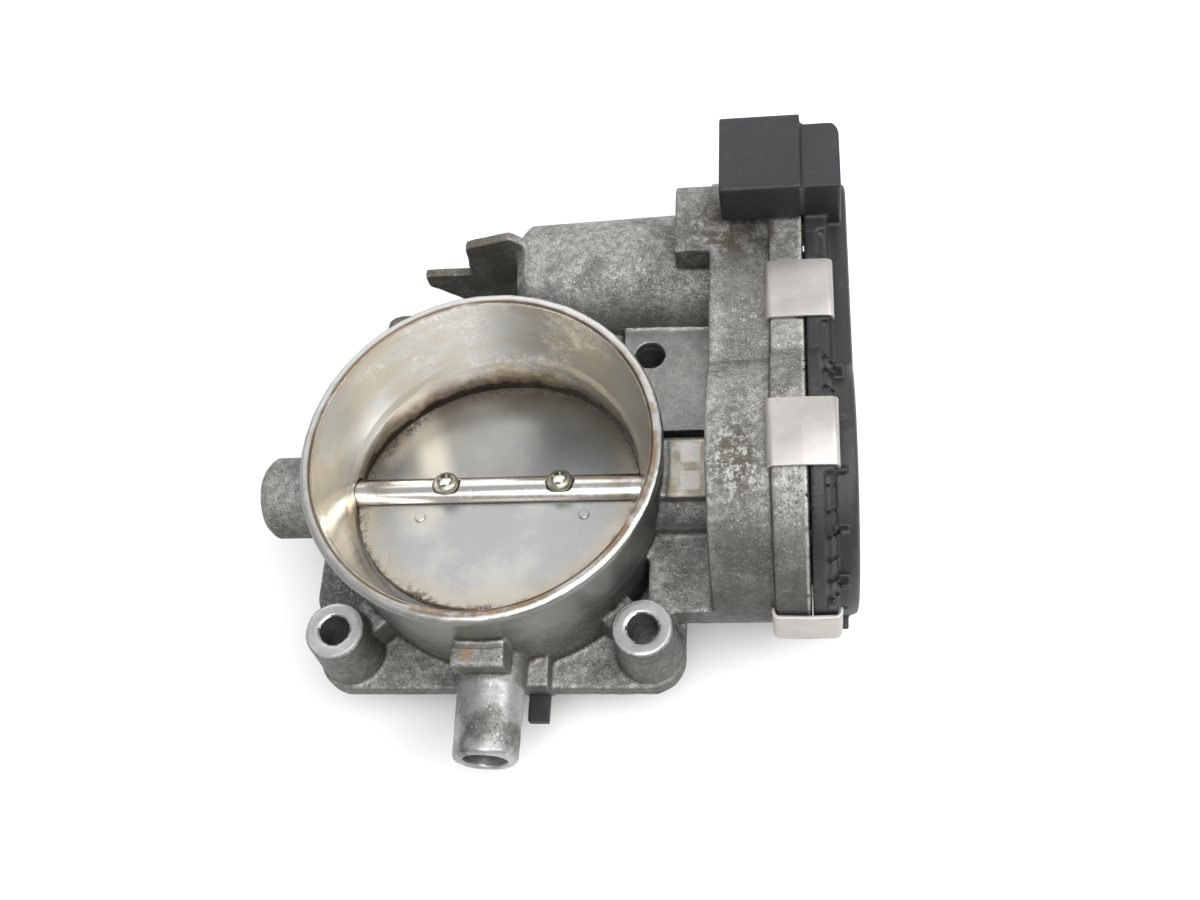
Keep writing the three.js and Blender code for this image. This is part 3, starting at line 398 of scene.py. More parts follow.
# Where the housing's zones lie. Two numbers are a fade's start and end; three are a band and its soft edge.
castZones = {
    "bore": (38.42 * mm, 38.28 * mm),
    "rimHeight": (41.45 * mm, 41.7 * mm),
    "rimRadius": (38.3 * mm, 41.3 * mm, 0.1 * mm),
    "bossRadius": (6.55 * mm, 6.2 * mm),
    "bossHeight": (20.35 * mm, 21.5 * mm, 0.1 * mm),
    "underside": (0.25 * mm, 0.1 * mm),
    "padX": (27 * mm, 51 * mm, 0.6 * mm),
    "padHeight": (22.3 * mm, 23.4 * mm, 0.2 * mm),
    "jointEdge": (71.1 * mm, 71.9 * mm, 0.15 * mm),
    "nipple": (-45 * mm, -47 * mm),
    "wallRadius": (41.5 * mm, 41.2 * mm),
    "wallHeight": (18 * mm, 30 * mm),
    "bossPadX": (41.5 * mm, 50.6 * mm, 0.5 * mm),
    "bossPadY": (-7.8 * mm, 7 * mm, 0.3 * mm),
    "bossPadHeight": (30.3 * mm, 30.7 * mm),
    "shadeLowDown": (26 * mm, 2 * mm),
    "squareX": (43.8 * mm, 48.2 * mm, 0.25 * mm),
}
# Centres of the marks, as [x, y], and of the two squares, as y, with half their depth
castMarks = {
    "oil": (57 * mm, -7 * mm),
    "connectorFoot": (56 * mm, 56 * mm),
    "spot": (-2.2 * mm, -42.6 * mm),
    "squares": (-3.6 * mm, 3.2 * mm),
    "squareHalf": 2.3 * mm,
}


def housingPaint():
    c = castLooks
    zones = castZones
    p = Paint("castAluminium")
    radius = p.reach(p.x, p.y)
    # masks of the machined zones
    bore = p.fade(radius, *zones["bore"])
    rimTop = p.product(p.fade(p.z, *zones["rimHeight"]), p.band(radius, *zones["rimRadius"]))
    boltX = p.math("SUBTRACT", p.math("ABSOLUTE", p.x), duct["boltX"])
    boltY = p.math("SUBTRACT", p.math("ABSOLUTE", p.y), duct["boltY"])
    fromBolt = p.reach(boltX, boltY)
    bossTop = p.product(p.fade(fromBolt, *zones["bossRadius"]), p.band(p.z, *zones["bossHeight"]))
    under = p.fade(p.z, *zones["underside"])
    padTop = p.product(p.band(p.x, *zones["padX"]), p.band(p.z, *zones["padHeight"]))
    jointEdge = p.band(p.x, *zones["jointEdge"])
    nipple = p.fade(p.y, *zones["nipple"])
    outside = p.math("SUBTRACT", 1.0, bore)
    upperWall = p.product(p.fade(radius, *zones["wallRadius"]), p.fade(p.z, *zones["wallHeight"]), outside)
    bossPad = p.product(p.band(p.x, *zones["bossPadX"]), p.band(p.y, *zones["bossPadY"]))
    bossPad = p.product(bossPad, p.fade(p.z, *zones["bossPadHeight"]))
    machined = p.most(bore, rimTop, bossTop, under)
    smooth = p.most(machined, p.product(upperWall, 0.75), p.product(nipple, 0.6), p.product(padTop, 0.55))

    # the cast skin: blotches, bright flecks, dark pits, and grime patches made darker towards the bottom as
    # painted shade
    blotch = p.noise(75, 5, 0.62)
    grain = p.noise(560, 5, 0.78)
    fine = p.noise(2100, 3, 0.7)
    skin = p.mix(p.fade(grain, 0.36, 0.66), c["mid"], c["light"])
    skin = p.mix(p.product(p.fade(blotch, 0.56, 0.40), 0.55), skin, c["dark"])
    sparkle = p.product(p.fade(fine, 0.585, 0.68), p.fade(p.noise(190, 4, 0.7), 0.36, 0.60, 0.2, 0.85))
    skin = p.mix(sparkle, skin, c["fleck"])
    skin = p.mix(p.product(p.fade(fine, 0.43, 0.34), 0.75), skin, c["dark"])
    pits = p.product(p.fade(p.cells(1100), 0.22, 0.12), p.fade(p.noise(170, 3), 0.46, 0.58))
    skin = p.mix(p.product(pits, 0.8), skin, c["dark"])
    grimeAndShade = p.product(p.fade(p.noise(38, 6, 0.7), 0.52, 0.70), p.fade(grain, 0.70, 0.40))
    # painted shade: the grime patches grow stronger towards the bottom of the housing
    shadeLowDown = p.fade(p.z, *zones["shadeLowDown"], 0.35, 0.9)
    skin = p.mix(p.product(grimeAndShade, shadeLowDown), skin, c["grimeAndShade"])
    # the oily mark on the drum below the second clip
    markX, markY = castMarks["oil"]
    markAway = p.reach(p.math("SUBTRACT", p.x, markX), p.product(p.math("SUBTRACT", p.y, markY), 0.55))
    mark = p.product(p.fade(markAway, 8 * mm, 2 * mm), p.fade(p.z, 30 * mm, 40 * mm))
    mark = p.product(mark, p.fade(grain, 0.60, 0.46))
    skin = p.mix(p.product(mark, 0.9), skin, c["grimeAndShade"])
    # painted shadow in patches round the connector's foot, and painted shade in patches in the corner under
    # the barrel
    footX, footY = castMarks["connectorFoot"]
    footAway = p.reach(p.product(p.math("SUBTRACT", p.x, footX), 0.6), p.math("SUBTRACT", p.y, footY))
    foot = p.product(p.fade(footAway, 15 * mm, 3 * mm), p.fade(p.noise(240, 5, 0.75), 0.60, 0.44))
    skin = p.mix(p.product(foot, 0.85), skin, c["grimeAndShade"])
    rear = p.product(p.fade(p.y, 40 * mm, 52 * mm), p.fade(p.x, 6 * mm, -2 * mm))
    rear = p.product(rear, p.fade(p.noise(110, 5), 0.34, 0.52), 0.7)
    skin = p.mix(rear, skin, c["underBarrelShade"])
    # painted shade on the gear case's front, darker towards the front
    front = p.product(p.fade(p.x, 48 * mm, 52 * mm), p.fade(p.y, -8 * mm, -26 * mm), 0.5)
    skin = p.mix(front, skin, c["frontShade"])
    # painted shade on faces that don't face up, stronger towards the front; crevices darkened, partly grime
    # and partly painted shade; edges lightened, partly rubbed wear and partly painted highlight
    bend = addNode(p.tree, "ShaderNodeNewGeometry").outputs["Pointiness"]
    wall = p.product(p.fade(p.up, 0.75, 0.1), p.fade(p.y, 44 * mm, 26 * mm, 0.45, 0.68))
    skin = p.mix(wall, skin, c["sideWallShade"])
    skin = p.mix(p.product(p.fade(bend, 0.485, 0.44), 0.7), skin, c["grimeAndShade"])
    skin = p.mix(p.product(p.fade(bend, 0.53, 0.60), 0.45), skin, c["rubbedAndLitEdge"])
    # smoother cast faces are paler
    skin = p.mix(p.product(padTop, 0.5), skin, c["padTop"])
    skin = p.mix(p.product(nipple, p.fade(blotch, 0.40, 0.60)), skin, c["nipple"])
    skin = p.mix(p.product(upperWall, 0.5), skin, c["upperWall"])
    skin = p.mix(p.product(jointEdge, p.fade(grain, 0.35, 0.5), 0.55), skin, c["jointEdge"])
    amber = p.mix(p.fade(p.noise(300, 4), 0.40, 0.62), c["bossPadDark"], c["bossPadLight"])
    skin = p.mix(p.product(bossPad, 0.85), skin, amber)
    half = castMarks["squareHalf"]
    for middle in castMarks["squares"]:  # two paler squares on the bearing boss
        side = p.band(p.y, middle - half, middle + half, 0.25 * mm)
        square = p.product(p.band(p.x, *zones["squareX"]), side, bossPad, 0.75)
        skin = p.mix(square, skin, c["square"])
    spotX, spotY = castMarks["spot"]
    spotAway = p.reach(p.math("SUBTRACT", p.x, spotX), p.math("SUBTRACT", p.y, spotY))
    spot = p.product(p.fade(spotAway, 1.7 * mm, 1.1 * mm), p.fade(p.z, 26 * mm, 26.6 * mm))
    skin = p.mix(p.product(spot, 0.8), skin, c["stain"])

    # the bore: fine turning marks, a warm tint, and varnish and soot round the plate
    angle = p.math("ARCTAN2", p.y, p.x)
    turned = {0: p.product(angle, 0.9), 1: p.product(p.z, 60.0), 2: 0.0}
    around = addNode(p.tree, "ShaderNodeCombineXYZ", turned).outputs[0]
    brush = p.noise(14, 5, 0.65, place=around, stretch=(0.6, 9.0, 1.0))
    tint = p.noise(1.6, 3, 0.6, place=around)
    boreSkin = p.mix(p.fade(tint, 0.40, 0.62), c["bore"], c["boreWarm"])
    boreSkin = p.mix(p.product(p.fade(brush, 0.35, 0.7), 0.25), boreSkin, c["turningMark"])
    slope = math.tan(duct["restTilt"])
    edgeHeight = p.math("SUBTRACT", duct["shaftHeight"], p.product(p.y, slope))
    abovePlate = p.math("SUBTRACT", p.z, edgeHeight)
    ragged = p.product(p.math("SUBTRACT", p.noise(150, 6, 0.7), 0.5), 9 * mm)
    distance = p.math("ADD", abovePlate, ragged)
    farSide = p.fade(p.y, -20 * mm, 14 * mm, 0.35, 1.0)
    varnish = p.product(p.band(distance, -4 * mm, 6 * mm, 3 * mm), farSide, 0.8)
    soot = p.product(p.band(distance, -1.6 * mm, 2.5 * mm, 0.7 * mm), farSide)
    boreSkin = p.mix(varnish, boreSkin, c["varnish"])
    boreSkin = p.mix(p.product(soot, 0.95), boreSkin, c["soot"])

    # the other machined faces, with brown stains on the rim
    faceSkin = p.mix(p.product(p.fade(fine, 0.62, 0.45), 0.35), c["machined"], c["machinedDark"])
    rightHalf = p.fade(p.math("SUBTRACT", p.x, p.y), -10 * mm, 40 * mm, 0.15, 1.0)
    rimStain = p.product(p.fade(p.noise(130, 5, 0.7), 0.40, 0.58), rightHalf, rimTop, 0.85)
    rimStain = p.product(rimStain, p.fade(radius, 40.6 * mm, 39.4 * mm, 0.15, 1.0))
    faceSkin = p.mix(rimStain, faceSkin, c["rimStain"])
    innerLine = p.product(p.fade(radius, 39.2 * mm, 38.8 * mm), rimTop)
    innerLine = p.product(innerLine, p.fade(p.noise(60, 4), 0.25, 0.5), 0.9)
    faceSkin = p.mix(innerLine, faceSkin, c["rimLine"])

    colour = p.mix(p.most(rimTop, bossTop, under), skin, faceSkin)
    colour = p.mix(bore, colour, boreSkin)
    dirty = p.most(p.product(grimeAndShade, 0.8), p.product(mark, 0.8))
    metallic = p.level(bore, p.level(smooth, 0.62, 0.95), 0.78)
    metallic = p.product(metallic, p.level(p.most(dirty, p.product(soot, bore)), 1.0, 0.15))
    roughness = p.level(smooth, p.fade(grain, 0.3, 0.7, 0.66, 0.48), 0.34)
    boreRough = p.math("ADD", p.fade(brush, 0.3, 0.7, 0.12, 0.22), p.product(varnish, 0.15))
    roughness = p.level(bore, roughness, boreRough)
    castBumps = p.math("ADD", p.product(p.noise(1500, 3, 0.6), 0.8), p.product(p.noise(420, 3), 0.9))
    castBumps = p.math("SUBTRACT", castBumps, p.product(pits, 0.9))
    height = p.level(smooth, castBumps, p.product(brush, 0.10))
    return p.finish(colour, metallic, roughness, height, 0.22 * mm, 0.75)


# The other materials
plateLooks = {
    "cool": (0.33, 0.335, 0.335),
    "warm": (0.42, 0.42, 0.40),
    "grain": (0.52, 0.52, 0.51),
    "scratch": (0.70, 0.70, 0.68),
    "rim": (0.40, 0.33, 0.22),
    "farHalfShade": (0.115, 0.12, 0.125),
    "glint": (0.50, 0.49, 0.46),
    "crust": (0.035, 0.024, 0.014),
}


def platePaint():
    c = plateLooks
    p = Paint("plateAluminium")
    fromCentre = p.reach(p.x, p.y, p.math("SUBTRACT", p.z, duct["shaftHeight"]))
    grain = p.noise(1700, 3, 0.6)
    cloud = p.noise(55, 4, 0.6)
    scratch = p.noise(420, 4, 0.7, stretch=(1.0, 0.08, 0.08))
    skin = p.mix(p.fade(cloud, 0.38, 0.64), c["cool"], c["warm"])
    skin = p.mix(p.product(p.fade(grain, 0.55, 0.75), 0.5), skin, c["grain"])
    skin = p.mix(p.product(p.fade(scratch, 0.62, 0.72), 0.3), skin, c["scratch"])
    ragged = p.product(p.math("SUBTRACT", p.noise(170, 6, 0.7), 0.5), 8 * mm)
    edge = p.math("ADD", fromCentre, ragged)
    edge = p.math("ADD", edge, p.fade(p.math("SUBTRACT", p.y, p.x), 8 * mm, 40 * mm, 0.0, 1.4 * mm))
    skin = p.mix(p.product(p.fade(edge, 26 * mm, 33 * mm), 0.45), skin, c["rim"])
    # painted shade: the plate's far half is darker, with a painted highlight, a soft diagonal bright band,
    # across it
    lean = p.math("ADD", p.y, p.product(p.noise(35, 3), 6 * mm))
    skin = p.mix(p.fade(lean, 3 * mm, 9 * mm, 0.0, 0.62), skin, c["farHalfShade"])
    band = p.math("ADD", p.x, p.product(p.y, 0.35))
    band = p.product(p.band(band, -17 * mm, -10 * mm, 2.5 * mm), p.fade(lean, 3 * mm, 9 * mm), 0.6)
    skin = p.mix(band, skin, c["glint"])
    crust = p.product(p.fade(edge, 31.5 * mm, 34 * mm), p.fade(p.noise(700, 4, 0.7), 0.40, 0.56))
    skin = p.mix(p.product(crust, 0.9), skin, c["crust"])
    rough = p.fade(grain, 0.3, 0.7, 0.33, 0.42)
    rough = p.math("ADD", rough, p.product(crust, 0.3))
    return p.finish(skin, p.level(crust, 0.92, 0.1), rough, grain, 0.03 * mm, 0.35)


def shaftPaint():
    p = Paint("shaftSteel")
    lines = p.noise(900, 4, 0.7, stretch=(1.0, 0.05, 0.05))
    cloud = p.noise(130, 4, 0.6)
    skin = p.mix(p.product(p.fade(lines, 0.35, 0.68), 0.25), (0.66, 0.645, 0.62), (0.44, 0.42, 0.40))
    ends = p.fade(p.math("ABSOLUTE", p.x), 22 * mm, 33 * mm)
    skin = p.mix(p.product(ends, p.fade(cloud, 0.40, 0.60), 0.6), skin, (0.16, 0.11, 0.06))
    roughness = p.math("ADD", p.fade(lines, 0.3, 0.7, 0.17, 0.27), p.fade(cloud, 0.5, 0.7, 0.0, 0.06))
    return p.finish(skin, 1.0, roughness, lines, 0.01 * mm, 0.15)


clipLooks = {
    "warm": (0.42, 0.40, 0.38),
    "pale": (0.50, 0.48, 0.46),
    "grain": (0.70, 0.68, 0.66),
    "speck": (0.16, 0.12, 0.09),
    "smear": (0.38, 0.32, 0.27),
}


def clipPaint():
    c = clipLooks
    p = Paint("clipNickel")
    cloud = p.noise(90, 4, 0.6)
    grain = p.noise(1900, 3, 0.65)
    specks = p.fade(p.cells(650), 0.075, 0.045)
    skin = p.mix(p.fade(cloud, 0.36, 0.66), c["warm"], c["pale"])
    skin = p.mix(p.product(p.fade(grain, 0.60, 0.76), 0.30), skin, c["grain"])
    skin = p.mix(p.product(specks, 0.7), skin, c["speck"])
    smear = p.fade(p.noise(240, 5, 0.7), 0.58, 0.72)
    skin = p.mix(p.product(smear, 0.25), skin, c["smear"])
    roughness = p.fade(cloud, 0.35, 0.65, 0.44, 0.54)
    return p.finish(skin, 0.80, roughness, grain, 0.03 * mm, 0.5)


def plasticPaint(name, colour, dusty, rough=0.5, dustAmount=0.5):
    p = Paint(name)
    grain = p.noise(1500, 4, 0.65)
    cloud = p.noise(60, 5, 0.6)
    skin = p.mix(p.fade(cloud, 0.35, 0.68), colour, [1.35 * v for v in colour])
    dust = p.product(p.fade(p.noise(330, 6, 0.75), 0.55, 0.74), p.fade(cloud, 0.34, 0.60))
    skin = p.mix(p.product(dust, dustAmount), skin, dusty)
    specks = p.fade(p.cells(420), 0.07, 0.04)
    skin = p.mix(p.product(specks, 0.35), skin, dusty)
    roughness = p.fade(grain, 0.3, 0.7, rough - 0.05, rough + 0.06)
    roughness = p.math("ADD", roughness, p.product(dust, 0.2))
    return p.finish(skin, 0.0, roughness, grain, 0.04 * mm, 0.55)


def metalPaint(name, light, dark, rough, metallic=1.0):
    p = Paint(name)
    grain = p.noise(1200, 4, 0.65)
    cloud = p.noise(140, 4, 0.6)
    skin = p.mix(p.fade(grain, 0.35, 0.68), dark, light)
    skin = p.mix(p.product(p.fade(cloud, 0.52, 0.70), 0.35), skin, dark)
    roughness = p.fade(cloud, 0.3, 0.7, rough - 0.05, rough + 0.1)
    return p.finish(skin, metallic, roughness, grain, 0.03 * mm, 0.5)


materials = {
    "cast_aluminium": housingPaint(),
    "plate_aluminium": platePaint(),
    "shaft_steel": shaftPaint(),
    "zinc_steel": metalPaint("zincSteel", (0.62, 0.60, 0.49), (0.34, 0.33, 0.26), 0.27),
    "spring_steel": clipPaint(),
    "dark_steel": metalPaint("darkSteel", (0.23, 0.23, 0.24), (0.10, 0.10, 0.10), 0.42),
    "black_plastic": plasticPaint("coverPlastic", (0.013, 0.0135, 0.015), (0.10, 0.095, 0.08)),
    "gear_plastic": plasticPaint("gearPlastic", (0.48, 0.44, 0.35), (0.30, 0.26, 0.18), 0.45, 0.3),
    "seal_rubber": plasticPaint("sealRubber", (0.014, 0.014, 0.014), (0.10, 0.09, 0.08), 0.7, 0.4),
    "copper": metalPaint("copper", (0.62, 0.28, 0.15), (0.36, 0.15, 0.08), 0.30),
    "brass": metalPaint("brass", (0.68, 0.49, 0.20), (0.42, 0.29, 0.11), 0.28),
    "ferrite": metalPaint("ferrite", (0.085, 0.080, 0.078), (0.045, 0.043, 0.042), 0.75, 0.1),
    "circuit_board": plasticPaint("circuitBoard", (0.018, 0.090, 0.036), (0.25, 0.22, 0.10), 0.35, 0.2),
}
print("materials", len(materials))


# Housing
housingSizes = {
    "voxel": 0.52 * mm,
    "rounding": 2,
    "triangles": 185000,
    "waveHeight": 0.10 * mm,
    "wavesPerMetre": 260,
    "nipple": (0.6 * mm, 13 * mm),
    # round faces, as [place along the axis, radius] in mm
    "bore": [(0.3, 33.8), (22.8, 33.8), (25, 34.7), (38, 37.6), (41.5, 38.2)],
    "ductWall": [(5.5, 38.5), (9, 38.8), (36.8, 39.8), (38.8, 40.7), (39.6, 41), (41, 41)],
    "plugBoss": [(-53.6, 9.7), (-41, 9.7)],
    "drum": [(50.9, 30.6), (64.0, 30.6)],
    "jointFlange": [(64.8, 33.1), (71.4, 33.1)],
    "motorBarrel": [(5.4, 15.2), (50.2, 16.37)],
    "nippleOutside": [(-61.2, 7.3), (-42, 7.65)],
    "nippleInside": [(-61.9, 5.0), (-36, 5.0)],
    "boltBoss": [(5.4, 7.7), (20.1, 6.8)],
    "boltHole": [(0.4, 3.5), (22.4, 3.5)],
}


def housingPiece():
    sizes = housingSizes
    shaft = (0, duct["shaftHeight"])
    motor = (case["motorY"], case["motorZ"])
    rounds = [  # the axis, its place across and the profile's name
        (2, (0, 0), "bore"),
        (2, (0, 0), "ductWall"),
        (0, shaft, "plugBoss"),
        (0, shaft, "drum"),
        (0, shaft, "jointFlange"),
        (0, motor, "motorBarrel"),
        (1, sizes["nipple"], "nippleOutside"),
        (1, sizes["nipple"], "nippleInside"),
    ]
    for sideX in (-1, 1):
        for sideY in (-1, 1):
            bolt = (sideX * duct["boltX"], sideY * duct["boltY"])
            rounds += [(2, bolt, "boltBoss"), (2, bolt, "boltHole")]
    roundFaces = [
        (axis, centre, [(place * mm, radius * mm) for place, radius in sizes[name]])
        for axis, centre, name in rounds
    ]
    mesh = castMesh(weldedCopy("housingWork", "housing"), "housingCasting", sizes, roundFaces)
    addPiece("housingCasting", mesh, materials["cast_aluminium"], "cast_aluminium", "housing")


housingPiece()
print("housing done")


# Throttle plate, shaft and screws, turned to the sprung rest position
plateSizes = {
    "radius": 33.4 * mm,
    "half": 1 * mm,
    "chamfer": 0.18 * mm,
    "dimples": (-17.7 * mm, 20.9 * mm),
    "dimpleY": -7.5 * mm,
    "dimpleRadius": 1.3 * mm,
    "dimpleHeight": 0.45 * mm,
    "dimpleRoot": 0.3 * mm,
    "dimpleRounding": (0.2 * mm, 0.15 * mm),
}
shaftSizes = {
    "voxel": 0.28 * mm,
    "rounding": 1,
    "triangles": 60000,
    "round": [(-51.3 * mm, 4 * mm), (77.8 * mm, 4 * mm)],
    "reach": 0.2 * mm,
}
screwSizes = {
    "head": 3.0 * mm,
    "height": 2.1 * mm,
    "seat": 3.5 * mm,
    "middle": 1.5 * mm,
    "spacing": 27 * mm,
    "shank": 1.6 * mm,
    "below": 3.6 * mm,
    "recess": 1.65 * mm,
    "recessDepth": 0.9 * mm,
    "lobes": 6,
    "lobeDepth": 0.17,
    "count": 2,
    "recessShadowRing": (2.05 * mm, 1.95 * mm),
    "brightMiddle": (1.45 * mm, 1.3 * mm),
    # the head's side, as [share of its radius, height above the seat in mm]
    "side": [(0.96, 0), (1, 0.25), (1, 0.85), (0.965, 1.2), (0.87, 1.6), (0.72, 1.9)],
}


# From the square position, about the shaft's axis, to rest
def tilted(mesh):
    turn = Matrix.Rotation(-duct["restTilt"], 4, "X")
    mesh.transform(Matrix.Translation((0, 0, duct["shaftHeight"])) @ turn)
    return mesh


# A round solid about Z through a place, from [radius, z] points, built as a turned solid on its side
def uprightMesh(name, profile, place, steps):
    mesh = turnedMesh(name, [(z, radius) for radius, z in profile], (0, 0), steps)
    mesh.transform(Matrix.Translation(place) @ Matrix.Rotation(-math.pi / 2, 4, "Y"))
    return mesh


def joined(name, meshes):
    mesh = bmesh.new()
    for part in meshes:
        mesh.from_mesh(part)
        bpy.data.meshes.remove(part)
    result = bpy.data.meshes.new(name)
    mesh.to_mesh(result)
    mesh.free()
    return result


def platePiece():
    s = plateSizes
    rim, half, cut = s["radius"], s["half"], s["chamfer"]
    disc = [(0, -half), (rim - cut, -half), (rim, cut - half)]
    disc += [(radius, -z) for radius, z in reversed(disc)]
    root = half - s["dimpleRoot"]
    top = half + s["dimpleHeight"]
    inward, down = s["dimpleRounding"]
    dimple = [
        (0, root),
        (s["dimpleRadius"], root),
        (s["dimpleRadius"], top - down),
        (s["dimpleRadius"] - inward, top),
        (0, top),
    ]
    parts = [uprightMesh("disc", disc, (0, 0, 0), 160)]
    for x in s["dimples"]:
        parts.append(uprightMesh("dimple", dimple, (x, s["dimpleY"], 0), 32))
    mesh = tilted(joined("throttlePlate", parts))
    shadeSmooth(mesh, 30)
    addPiece("throttlePlate", mesh, materials["plate_aluminium"], "plate_aluminium", "throttle_plate")


def shaftPiece():
    sizes = shaftSizes
    roundFaces = [(0, (0, duct["shaftHeight"]), sizes["round"], sizes["reach"])]
    mesh = castMesh(weldedCopy("shaftWork", "throttle_shaft"), "throttleShaft", sizes, roundFaces)
    addPiece("throttleShaft", mesh, materials["shaft_steel"], "shaft_steel", "throttle_shaft")


# Dark zinc on the screws' heads, a painted shadow ring at the rim of their recesses, and bright metal in
# their middles
def screwPaint():
    p = Paint("plateScrewZinc")
    tilt = duct["restTilt"]
    fromMiddle = p.math("ABSOLUTE", p.math("SUBTRACT", p.x, screwSizes["middle"]))
    along = p.math("SUBTRACT", fromMiddle, screwSizes["spacing"] / 2)
    up = p.math("SUBTRACT", p.z, duct["shaftHeight"])
    across = p.math("ADD", p.product(p.y, math.cos(tilt)), p.product(up, -math.sin(tilt)))
    away = p.reach(along, across)
    grain = p.noise(1900, 3, 0.65)
    skin = p.mix(p.fade(grain, 0.35, 0.65), (0.27, 0.27, 0.22), (0.40, 0.39, 0.33))
    # painted shadow round the inside of each recess
    skin = p.mix(p.fade(away, *screwSizes["recessShadowRing"]), skin, (0.16, 0.155, 0.125))
    skin = p.mix(p.fade(away, *screwSizes["brightMiddle"]), skin, (0.86, 0.85, 0.80))
    return p.finish(skin, 0.9, p.fade(grain, 0.3, 0.7, 0.30, 0.42), grain, 0.02 * mm, 0.4)


# One pan-head screw with a lobed recess, at the origin
def screwTemplate():
    s = screwSizes
    top = s["seat"] + s["height"]
    profile = [(0, -s["below"]), (s["shank"], -s["below"]), (s["shank"], s["seat"])]
    profile += [(s["head"] * share, s["seat"] + height * mm) for share, height in s["side"]]
    profile += [(s["head"] * 0.58, top), (0, top)]
    screw = addObject("screwTemplate", uprightMesh("screwTemplate", profile, (0, 0, 0), 56))
    floor = top - s["recessDepth"]
    steps = 72
    mesh = bmesh.new()
    outline = []
    for i in range(steps):
        angle = 2 * math.pi * i / steps
        radius = s["recess"] * (1 + s["lobeDepth"] * math.cos(s["lobes"] * angle))
        outline.append(mesh.verts.new((radius * math.cos(angle), radius * math.sin(angle), floor)))
    face = mesh.faces.new(outline)
    grown = bmesh.ops.extrude_face_region(mesh, geom=[face])["geom"]
    moved = [v for v in grown if isinstance(v, bmesh.types.BMVert)]
    bmesh.ops.translate(mesh, vec=(0, 0, 2 * mm), verts=moved)
    bmesh.ops.recalc_face_normals(mesh, faces=mesh.faces)
    cutter = bpy.data.meshes.new("screwRecess")
    mesh.to_mesh(cutter)
    mesh.free()
    cutWith(screw, addObject("screwRecess", cutter))
    return screw


# Geometry Nodes helpers
def newTree(name, sockets):
    tree = bpy.data.node_groups.new(name, "GeometryNodeTree")
    tree.interface.new_socket(name="Geometry", in_out="OUTPUT", socket_type="NodeSocketGeometry")
    for label, kind in sockets:
        tree.interface.new_socket(name=label, in_out="INPUT", socket_type=kind)
    tree.is_modifier = True
    start = tree.nodes.new("NodeGroupInput")
    return tree, start.outputs


def closeTree(tree, geometry, material):
    realized = addNode(tree, "GeometryNodeRealizeInstances", {0: geometry})
    painted = addNode(tree, "GeometryNodeSetMaterial", {
        "Geometry": realized.outputs[0], "Material": material,
    })
    end = tree.nodes.new("NodeGroupOutput")
    tree.links.new(painted.outputs[0], end.inputs[0])


def runTree(tree, name, values):
    holder = addObject(name, bpy.data.meshes.new(name + "Empty"))
    modifier = holder.modifiers.new("build", "NODES")
    modifier.node_group = tree
    for item in tree.interface.items_tree:
        if item.in_out == "INPUT" and item.name in values:
            modifier[item.identifier] = values[item.name]
    mesh = bakedMesh(holder)
    dropObject(holder)
    mesh.name = name
    return mesh


# Screws in a row along X, copied from a template
def screwTree():
    tree, inputs = newTree("screwRow", [
        ("Template", "NodeSocketObject"), ("Middle", "NodeSocketFloat"), ("Spacing", "NodeSocketFloat"),
        ("Count", "NodeSocketInt"), ("Material", "NodeSocketMaterial"),
    ])
    template = addNode(tree, "GeometryNodeObjectInfo", {"Object": inputs["Template"]})
    steps = mathNode(tree, "SUBTRACT", inputs["Count"], 1.0)
    length = mathNode(tree, "MULTIPLY", steps, inputs["Spacing"])
    start = mathNode(tree, "MULTIPLY_ADD", length, -0.5, inputs["Middle"])
    first = addNode(tree, "ShaderNodeCombineXYZ", {0: start})
    step = addNode(tree, "ShaderNodeCombineXYZ", {0: inputs["Spacing"]})
    row = addNode(tree, "GeometryNodeMeshLine", {
        "Count": inputs["Count"], "Start Location": first.outputs[0], "Offset": step.outputs[0],
    })
    copies = addNode(tree, "GeometryNodeInstanceOnPoints", {
        "Points": row.outputs[0], "Instance": template.outputs["Geometry"],
    })
    closeTree(tree, copies.outputs[0], inputs["Material"])
    return tree


def screwPieces():
    template = screwTemplate()
    zinc = screwPaint()
    mesh = runTree(screwTree(), "plateScrews", {
        "Template": template, "Middle": screwSizes["middle"], "Spacing": screwSizes["spacing"],
        "Count": screwSizes["count"], "Material": zinc,
    })
    dropObject(template)
    tilted(mesh)
    shadeSmooth(mesh, 32)
    addPiece("plateScrews", mesh, zinc, "zinc_steel", "plate_screw_1", "plate_screw_2")


platePiece()
shaftPiece()
screwPieces()
print("throttle done")


# Spring clips: one bent strip, placed round the joint
clipSizes = {
    "Left": 63.75 * mm,
    "Right": 78.15 * mm,
    "Top": -0.08 * mm,
    "Leg": 2.1 * mm,
    "Bend": 1.3 * mm,
    "Length": 15.2 * mm,
    "Thickness": 0.8 * mm,
    "Crown": 0.18 * mm,
    "edge": 0.15 * mm,  # the bevel, which isn't an input of the tree
}


